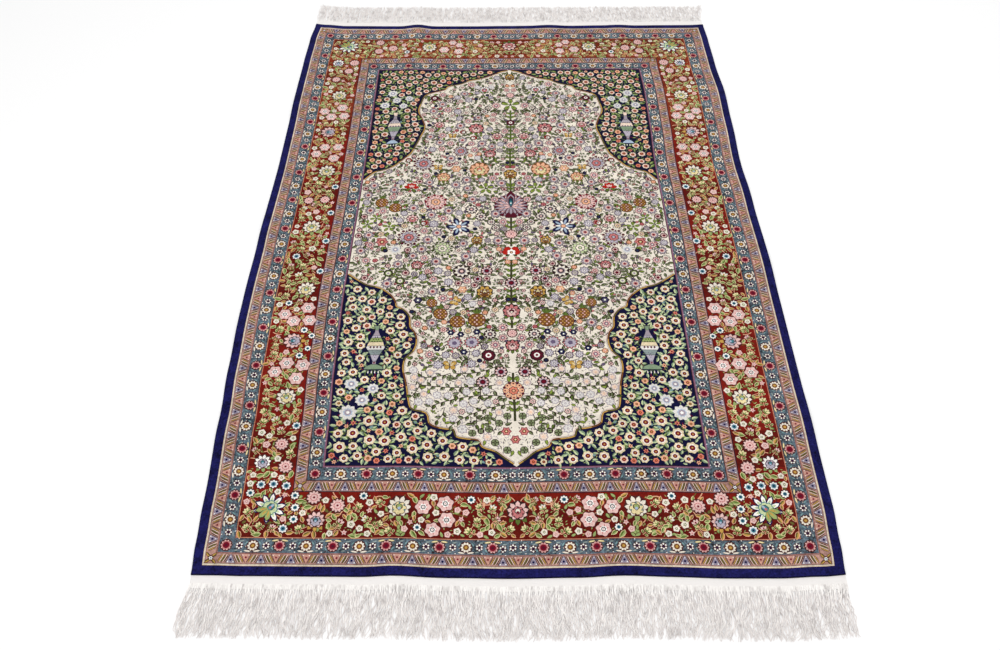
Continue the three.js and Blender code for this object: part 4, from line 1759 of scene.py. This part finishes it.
def pile_material(name, group, unevenness, bump, roughness, flat_yarn=None):
    made, tree, shader = new_material(name, roughness, 0.05)
    if flat_yarn:
        *colour, mottle = YARN_LINEAR[YARN_NUMBER[flat_yarn]]
        colour = (*colour, 1)
    else:
        source = add_node(tree, "ShaderNodeAttribute", attribute_name="yarn").outputs
        colour, mottle = source["Color"], source["Alpha"]
    values = {"Unevenness": unevenness, "Color": colour, "Mottle": mottle}
    knots = add_node(tree, "ShaderNodeGroup", values, node_tree=group)
    feed(tree, shader.inputs["Base Color"], knots.outputs["Color"])
    add_relief(tree, shader, knots.outputs["Height"], bump, 0.0003)
    return made


def warp_material(name, ribs_across, ribs_along, depth, shade, lit, hollow_shade=0.0):
    """Undyed warp yarn, near white, with painted shade on the parts that face sideways and, in patches of a
    few strands, painted shade that stands in for strands lying deep.
    """
    made, tree, shader = new_material(name, 0.8, 0.05)
    add, m, vector, noise = helpers(tree)

    def attribute(name):
        return add("ShaderNodeAttribute", attribute_name=name).outputs["Fac"]

    def blended(share, *colours):
        blend = add("ShaderNodeMix", {"Factor": share}, data_type="RGBA")
        for socket, colour in zip([s for s in blend.inputs if s.type == "RGBA"], colours):
            feed(tree, socket, (*[linear(c) for c in colour], 1.0) if isinstance(colour, tuple) else colour)
        return [s for s in blend.outputs if s.type == "RGBA"][0]

    place = add("ShaderNodeTexCoord").outputs["Object"]
    up = add("ShaderNodeSeparateXYZ", {0: add("ShaderNodeNewGeometry").outputs["Normal"]}).outputs[2]
    along = attribute("along")
    # Painted shade and light: parts that face sideways are blended towards the shade colour, parts that face
    # up towards the lit one
    amount = m("MULTIPLY_ADD", noise(place, 260.0, 2.0), 0.5, m("MULTIPLY_ADD", up, 1.2, -0.1))
    amount = m("ADD", amount, m("MULTIPLY_ADD", along, -6.0, 1.0))
    colour = blended(m("MAXIMUM", amount, m("MULTIPLY_ADD", up, 1.1, -0.05)), shade, lit)
    if hollow_shade:
        # Painted shade: darker grey patches over a few strands at a time, as if those strands lay deep among
        # the others
        few = m("FLOOR", m("DIVIDE", attribute("strand"), 3.0))
        patches = noise(vector(m("MULTIPLY", few, 7.31), m("MULTIPLY", along, 5.0), 0.0), 1.0, 1.0)
        deep = m("MULTIPLY", m("SUBTRACT", patches, 0.48), 3.4)
        deep = m("MULTIPLY", m("MINIMUM", m("MAXIMUM", deep, 0.0), 1.0), hollow_shade)
        colour = blended(deep, colour, (142, 132, 130))
    feed(tree, shader.inputs["Base Color"], colour)
    split = add("ShaderNodeSeparateXYZ", {0: place}).outputs
    ribs = [m("SINE", m("MULTIPLY", split[k], pitch)) for k, pitch in ((0, ribs_across), (1, ribs_along))]
    add_relief(tree, shader, m("MULTIPLY", *ribs), 0.6, depth)
    return made


knotting = knotting_group()
pile_look = pile_material("silk_pile", knotting, 1.0, 0.35, 0.7)
back_look = pile_material("knot_backs", knotting, 0.8, 0.8, 0.75)
overcast_look = pile_material("overcast_silk", knotting, 0.6, 0.2, 0.7, "edge_navy")
# The shade and lit colours of the warp are painted shade and painted light
WEAVE_SHADE, WEAVE_LIT = (210, 202, 197), (250, 246, 243)
FRINGE_SHADE, FRINGE_LIT = (244, 235, 232), (255, 252, 249)
weave_look = warp_material("flat_weave", TURN / 0.0011, TURN / 0.0011, 0.0003, WEAVE_SHADE, WEAVE_LIT)
fringe_look = warp_material("warp_ends", TURN / 0.0007, TURN / 0.0016, 0.0001, FRINGE_SHADE, FRINGE_LIT, 0.5)


def pile_height(plan):
    drop = np.clip(1 - inset_of(plan) / 1.8, 0, 1) ** 2
    return RUG_THICKNESS - PILE_ROUNDING * drop


def level_of(height):
    return lambda plan: np.full(len(plan), height)


plan, triangles, yarns, owners = triangulated("front")
under = level_of(FOUNDATION_HIGH - 0.05)
for number, name in enumerate(PIECES):
    own = owners == number
    heights = (pile_height, under, lambda spots: piece_of(spots) == number)
    made = closed_piece("pile_" + name, plan, triangles[own], yarns[own], *heights, pile_look)
plan, triangles, yarns, owners = triangulated("back", 0.12)
heights = (level_of(0.0), level_of(FOUNDATION_LOW + 0.05), lambda spots: inset_of(spots) >= 0)
closed_piece("knot_backs", plan, triangles, yarns, *heights, back_look)


# The woven foundation, which shows as a flat strip beyond the pile at each end
def foundation():
    edge = HALF_WIDTH - 0.4
    columns = np.linspace(-edge, edge, 60)
    near = [HALF_LENGTH + NEAR_STRIP * share for share in (1, 0.66, 0.33)] + [HALF_LENGTH + 0.6]
    under_pile = np.linspace(-HALF_LENGTH + 0.4, HALF_LENGTH - 0.4, 84)
    far = [HALF_LENGTH + 0.6, HALF_LENGTH + FAR_STRIP * 0.5, HALF_LENGTH + FAR_STRIP]
    rows = [(-v, 0.0, WEAVE_THICKNESS) for v in near]
    rows += [(v, FOUNDATION_LOW, FOUNDATION_HIGH) for v in under_pile]
    rows += [(v, 0.0, WEAVE_THICKNESS) for v in far]
    wide, long = len(columns), len(rows)
    plan = np.array([(u, row[0]) for row in rows for u in columns])
    places = np.concatenate([placed(plan, np.repeat([row[k] for row in rows], wide)) for k in (2, 1)])
    below = wide * long
    faces = []
    for r in range(long - 1):
        for a in range(r * wide, r * wide + wide - 1):
            faces.append((a, a + 1, a + wide + 1, a + wide))
            faces.append((below + a, below + a + wide, below + a + wide + 1, below + a + 1))
        left, right = r * wide, r * wide + wide - 1
        faces.append((below + left, left, left + wide, below + left + wide))
        faces.append((right, below + right, below + right + wide, right + wide))
    for c in range(wide - 1):
        last = (long - 1) * wide + c
        faces.append((below + c, below + c + 1, c + 1, c))
        faces.append((last, last + 1, below + last + 1, below + last))
    return mesh_object("woven_foundation", places.tolist(), faces, weave_look)


foundation_piece = foundation()


# The overcast cord along a long side: a round cord with the wraps standing up from it
def overcast(name, sign):
    rings, corners = int(PILE_LENGTH / WRAP_PITCH * 2), 6
    along = np.linspace(-HALF_LENGTH + 0.6, HALF_LENGTH - 0.6, rings)
    line = np.stack([np.full(rings, sign * (HALF_WIDTH - 0.9)), along], axis=1)
    places = []
    for k, ((x, y), z) in enumerate(zip(bent(line) + SHIFT, lift_at(line) + CORD_RADIUS + 0.05)):
        radius = CORD_RADIUS * (1.0 if k % 2 else 0.88)
        for angle in ring_of(corners):
            c, s = math.cos(angle), math.sin(angle)
            places.append(((x + radius * c) * MM, (y + 0.35 * s) * MM, (z + radius * s) * MM))
    faces = []
    for k in range(0, (rings - 1) * corners, corners):
        for j in range(corners):
            a, b = k + j, k + (j + 1) % corners
            faces.append((b + corners, a + corners, a, b))
    faces.append(tuple(reversed(range(corners))))
    faces.append(tuple(range((rings - 1) * corners, rings * corners)))
    return mesh_object(name, places, faces, overcast_look, sharp=False)


side_cords = [overcast("overcast_side_left", -1), overcast("overcast_side_right", 1)]


# The fringes: warp ends that run on from the flat strip, gather a little and lie unevenly
def fringe_tree(name):
    inputs = (
        ("Geometry", "Geometry"),
        ("Strands", "Int", 1100),
        ("Steps", "Int", 12),
        ("Length", "Float", 0.08),
        ("Direction", "Float", -1.0),
        ("Radius", "Float", 0.00045),
        ("Bundle Pitch", "Float", 0.009),
        ("Gather", "Float", 0.55),
        ("Sway", "Float", 0.006),
        ("Left Splay", "Float", 0.0),
        ("Right Splay", "Float", 0.0),
        ("Half Width", "Float", 0.5),
        ("Seed", "Int", 1),
        ("Material", "Material"),
    )
    tree, entry, leave = open_group(name, "GeometryNodeTree", inputs, (("Geometry", "Geometry"),))
    add, m, vector, noise = helpers(tree)

    def shape(kind, values, **settings):
        return add("GeometryNode" + kind, values, **settings).outputs[0]

    def stored(geometry, name, value):
        values = {"Geometry": geometry, "Name": name, "Value": value}
        return shape("StoreNamedAttribute", values, data_type="FLOAT", domain="POINT")

    line = shape("MeshToCurve", {"Mesh": entry["Geometry"]})
    spaced = shape("ResampleCurve", {"Curve": line, "Count": entry["Strands"]})
    number = shape("InputIndex", {})
    roots = stored(shape("CurveToPoints", {"Curve": spaced}, mode="EVALUATED"), "strand", number)
    single = shape("CurvePrimitiveLine", {"End": vector(0.0, entry["Direction"], 0.0)}, mode="POINTS")
    stepped = shape("ResampleCurve", {"Curve": single, "Count": entry["Steps"]})
    limits = {2: 0.9, 3: 1.0, "ID": number, "Seed": entry["Seed"]}
    cut = add("FunctionNodeRandomValue", limits, data_type="FLOAT")
    scale = vector(1.0, m("MULTIPLY", entry["Length"], cut.outputs[1]), 1.0)
    laid = shape("InstanceOnPoints", {"Points": roots, "Instance": stepped, "Scale": scale})
    real = shape("RealizeInstances", {"Geometry": laid})
    strand = shape("InputNamedAttribute", {"Name": "strand"}, data_type="FLOAT")
    t = add("GeometryNodeSplineParameter").outputs["Factor"]
    x, y, z = add("ShaderNodeSeparateXYZ", {0: shape("InputPosition", {})}).outputs
    seed = m("MULTIPLY", entry["Seed"], 17.3)
    bundle = m("FLOOR", m("DIVIDE", x, entry["Bundle Pitch"]))
    middle = m("MULTIPLY", m("ADD", bundle, 0.5), entry["Bundle Pitch"])
    gathered = m("MULTIPLY", m("MULTIPLY", m("SUBTRACT", middle, x), entry["Gather"]), m("POWER", t, 0.7))

    def sway(across, along, amount, power):
        wave = noise(vector(across, m("MULTIPLY", t, along), seed), 1.0, 1.0)
        return m("MULTIPLY", m("MULTIPLY", m("SUBTRACT", wave, 0.5), amount), m("POWER", t, power))

    locks = sway(m("MULTIPLY", x, 30.0), 1.6, 3.6, 0.8)
    slow = sway(m("MULTIPLY", strand, 0.61), 2.6, 3.6, 0.7)
    quick = sway(m("MULTIPLY", strand, 1.7), 8.0, 2.8, 0.3)
    swayed = m("MULTIPLY", m("ADD", locks, m("ADD", slow, quick)), entry["Sway"])
    share = m("DIVIDE", m("ADD", x, entry["Half Width"]), m("MULTIPLY", entry["Half Width"], 2.0))
    share = m("MINIMUM", m("MAXIMUM", share, 0.0), 1.0)
    fan_left = m("MULTIPLY", entry["Left Splay"], m("POWER", m("SUBTRACT", 1.0, share), 6.0))
    fan_right = m("MULTIPLY", entry["Right Splay"], m("POWER", share, 6.0))
    fan = m("MULTIPLY", m("ADD", fan_left, fan_right), m("POWER", t, 1.1))
    new_x = m("ADD", m("ADD", x, gathered), m("ADD", swayed, fan))
    layer = add("ShaderNodeTexWhiteNoise", {"W": m("ADD", strand, seed)}, noise_dimensions="1D").outputs[0]
    rest = m("ADD", entry["Radius"], m("MULTIPLY", layer, 0.0014))
    steps = {"Value": t, "From Min": 0.09, "From Max": 0.24}
    settle = add("ShaderNodeMapRange", steps, interpolation_type="SMOOTHSTEP").outputs[0]
    new_z = m("ADD", m("MULTIPLY", z, m("SUBTRACT", 1.0, settle)), m("MULTIPLY", rest, settle))
    lying = stored(shape("SetPosition", {"Geometry": real, "Position": vector(new_x, y, new_z)}), "along", t)
    ring = shape("CurvePrimitiveCircle", {"Resolution": 4, "Radius": 1.0}, mode="RADIUS")
    thin = m("MULTIPLY", entry["Radius"], m("SUBTRACT", 1.0, m("MULTIPLY", m("POWER", t, 3.0), 0.45)))
    solid = shape("CurveToMesh", {"Curve": lying, "Profile Curve": ring, "Scale": thin, "Fill Caps": True})
    whole = shape("RealizeInstances", {"Geometry": shape("SetShadeSmooth", {0: solid})})
    dressed = shape("SetMaterial", {"Geometry": whole, "Material": entry["Material"]})
    feed(tree, leave.inputs["Geometry"], dressed)
    return tree


def fringe(name, node, direction, root, settings):
    """Strands from a line on the flat strip, root millimetres beyond the pile."""
    u = np.linspace(-HALF_WIDTH + 0.8, HALF_WIDTH - 0.8, 160)
    line = np.stack([u, np.full(len(u), direction * (HALF_LENGTH + root))], axis=1)
    places = placed(line, np.full(len(u), WEAVE_THICKNESS + 0.1))
    mesh = bpy.data.meshes.new(name + "_line")
    mesh.from_pydata(places.tolist(), [(k, k + 1) for k in range(len(u) - 1)], [])
    base = linked(name + "_line", mesh)
    modifier = base.modifiers.new("strands", "NODES")
    modifier.node_group = strands
    known = {s.name: s.identifier for s in strands.interface.items_tree if s.in_out == "INPUT"}
    for label, value in {**settings, "Direction": float(direction), "Material": fringe_look}.items():
        modifier[known[label]] = value
    bpy.context.view_layer.update()
    ready = base.evaluated_get(bpy.context.evaluated_depsgraph_get())
    made_mesh = bpy.data.meshes.new_from_object(ready)
    made_mesh.name = name
    bpy.data.objects.remove(base)
    return piece_object(name, made_mesh, node)


strands = fringe_tree("warp_strands")
both_settings = {"Radius": 0.00066, "Bundle Pitch": 0.0085, "Gather": 0.08}
near_settings = {"Strands": 1000, "Steps": 9, "Length": 0.0815, "Sway": 0.0085, "Seed": 3, **both_settings}
near_settings.update({"Left Splay": -0.009, "Right Splay": -0.008})
far_settings = {"Strands": 800, "Steps": 8, "Length": 0.074, "Sway": 0.0065, "Seed": 8, **both_settings}
far_settings.update({"Left Splay": 0.002, "Right Splay": 0.003})
fringes = [
    fringe("fringe_near_strands", "fringe_near", -1, NEAR_STRIP - 8.0, near_settings),
    fringe("fringe_far_strands", "fringe_far", 1, FAR_STRIP - 0.8, far_settings),
]


# Floor, light and camera
def floor(size=6.0):
    mesh = bpy.data.meshes.new("floor")
    mesh.from_pydata([(x, y, 0) for x, y in rectangle(-size, -size, size, size)], [], [(0, 1, 2, 3)])
    look, tree, shader = new_material("floor_white", 0.9, 0.1)
    shader.inputs["Base Color"].default_value = (0.97, 0.97, 0.97, 1)
    mesh.materials.append(look)
    return linked("floor", mesh)


def area_light(name, place, size, power):
    """A round light that shines on the middle of the rug."""
    data = bpy.data.lights.new(name, "AREA")
    data.shape = "DISK"
    data.size = size
    data.energy = power
    made = linked(name, data)
    made.location = place
    made.rotation_euler = (-Vector(place)).to_track_quat("-Z", "Y").to_euler()
    return made


ground = floor()
lamps = [
    area_light("soft_top", (0.4, 0.3, 3.4), 3.2, 50),
    area_light("soft_front", (-1.6, -2.4, 2.6), 2.2, 18),
]
world = bpy.data.worlds.new("studio")
world.use_nodes = True
world.node_tree.nodes["Background"].inputs["Color"].default_value = (1, 1, 1, 1)
world.node_tree.nodes["Background"].inputs["Strength"].default_value = 0.68
bpy.context.scene.world = world
bpy.context.scene.view_settings.view_transform = "Standard"

# The camera stands beyond the near end, a little left of the middle, and looks down at the rug
CAMERA_ACROSS = -28.0
CAMERA_ALONG = -1158.5
CAMERA_HEIGHT = 1226.0
CAMERA_DOWN = 53.3
camera_data = bpy.data.cameras.new("camera")
camera_data.lens = 29.27
camera_data.sensor_width = 36.0
camera_data.clip_start = 0.05
camera = linked("camera", camera_data)
camera.location = ((CAMERA_ACROSS + SHIFT[0]) * MM, (CAMERA_ALONG + SHIFT[1]) * MM, CAMERA_HEIGHT * MM)
camera.rotation_euler = (math.radians(90 - CAMERA_DOWN), 0, 0)
bpy.context.scene.camera = camera
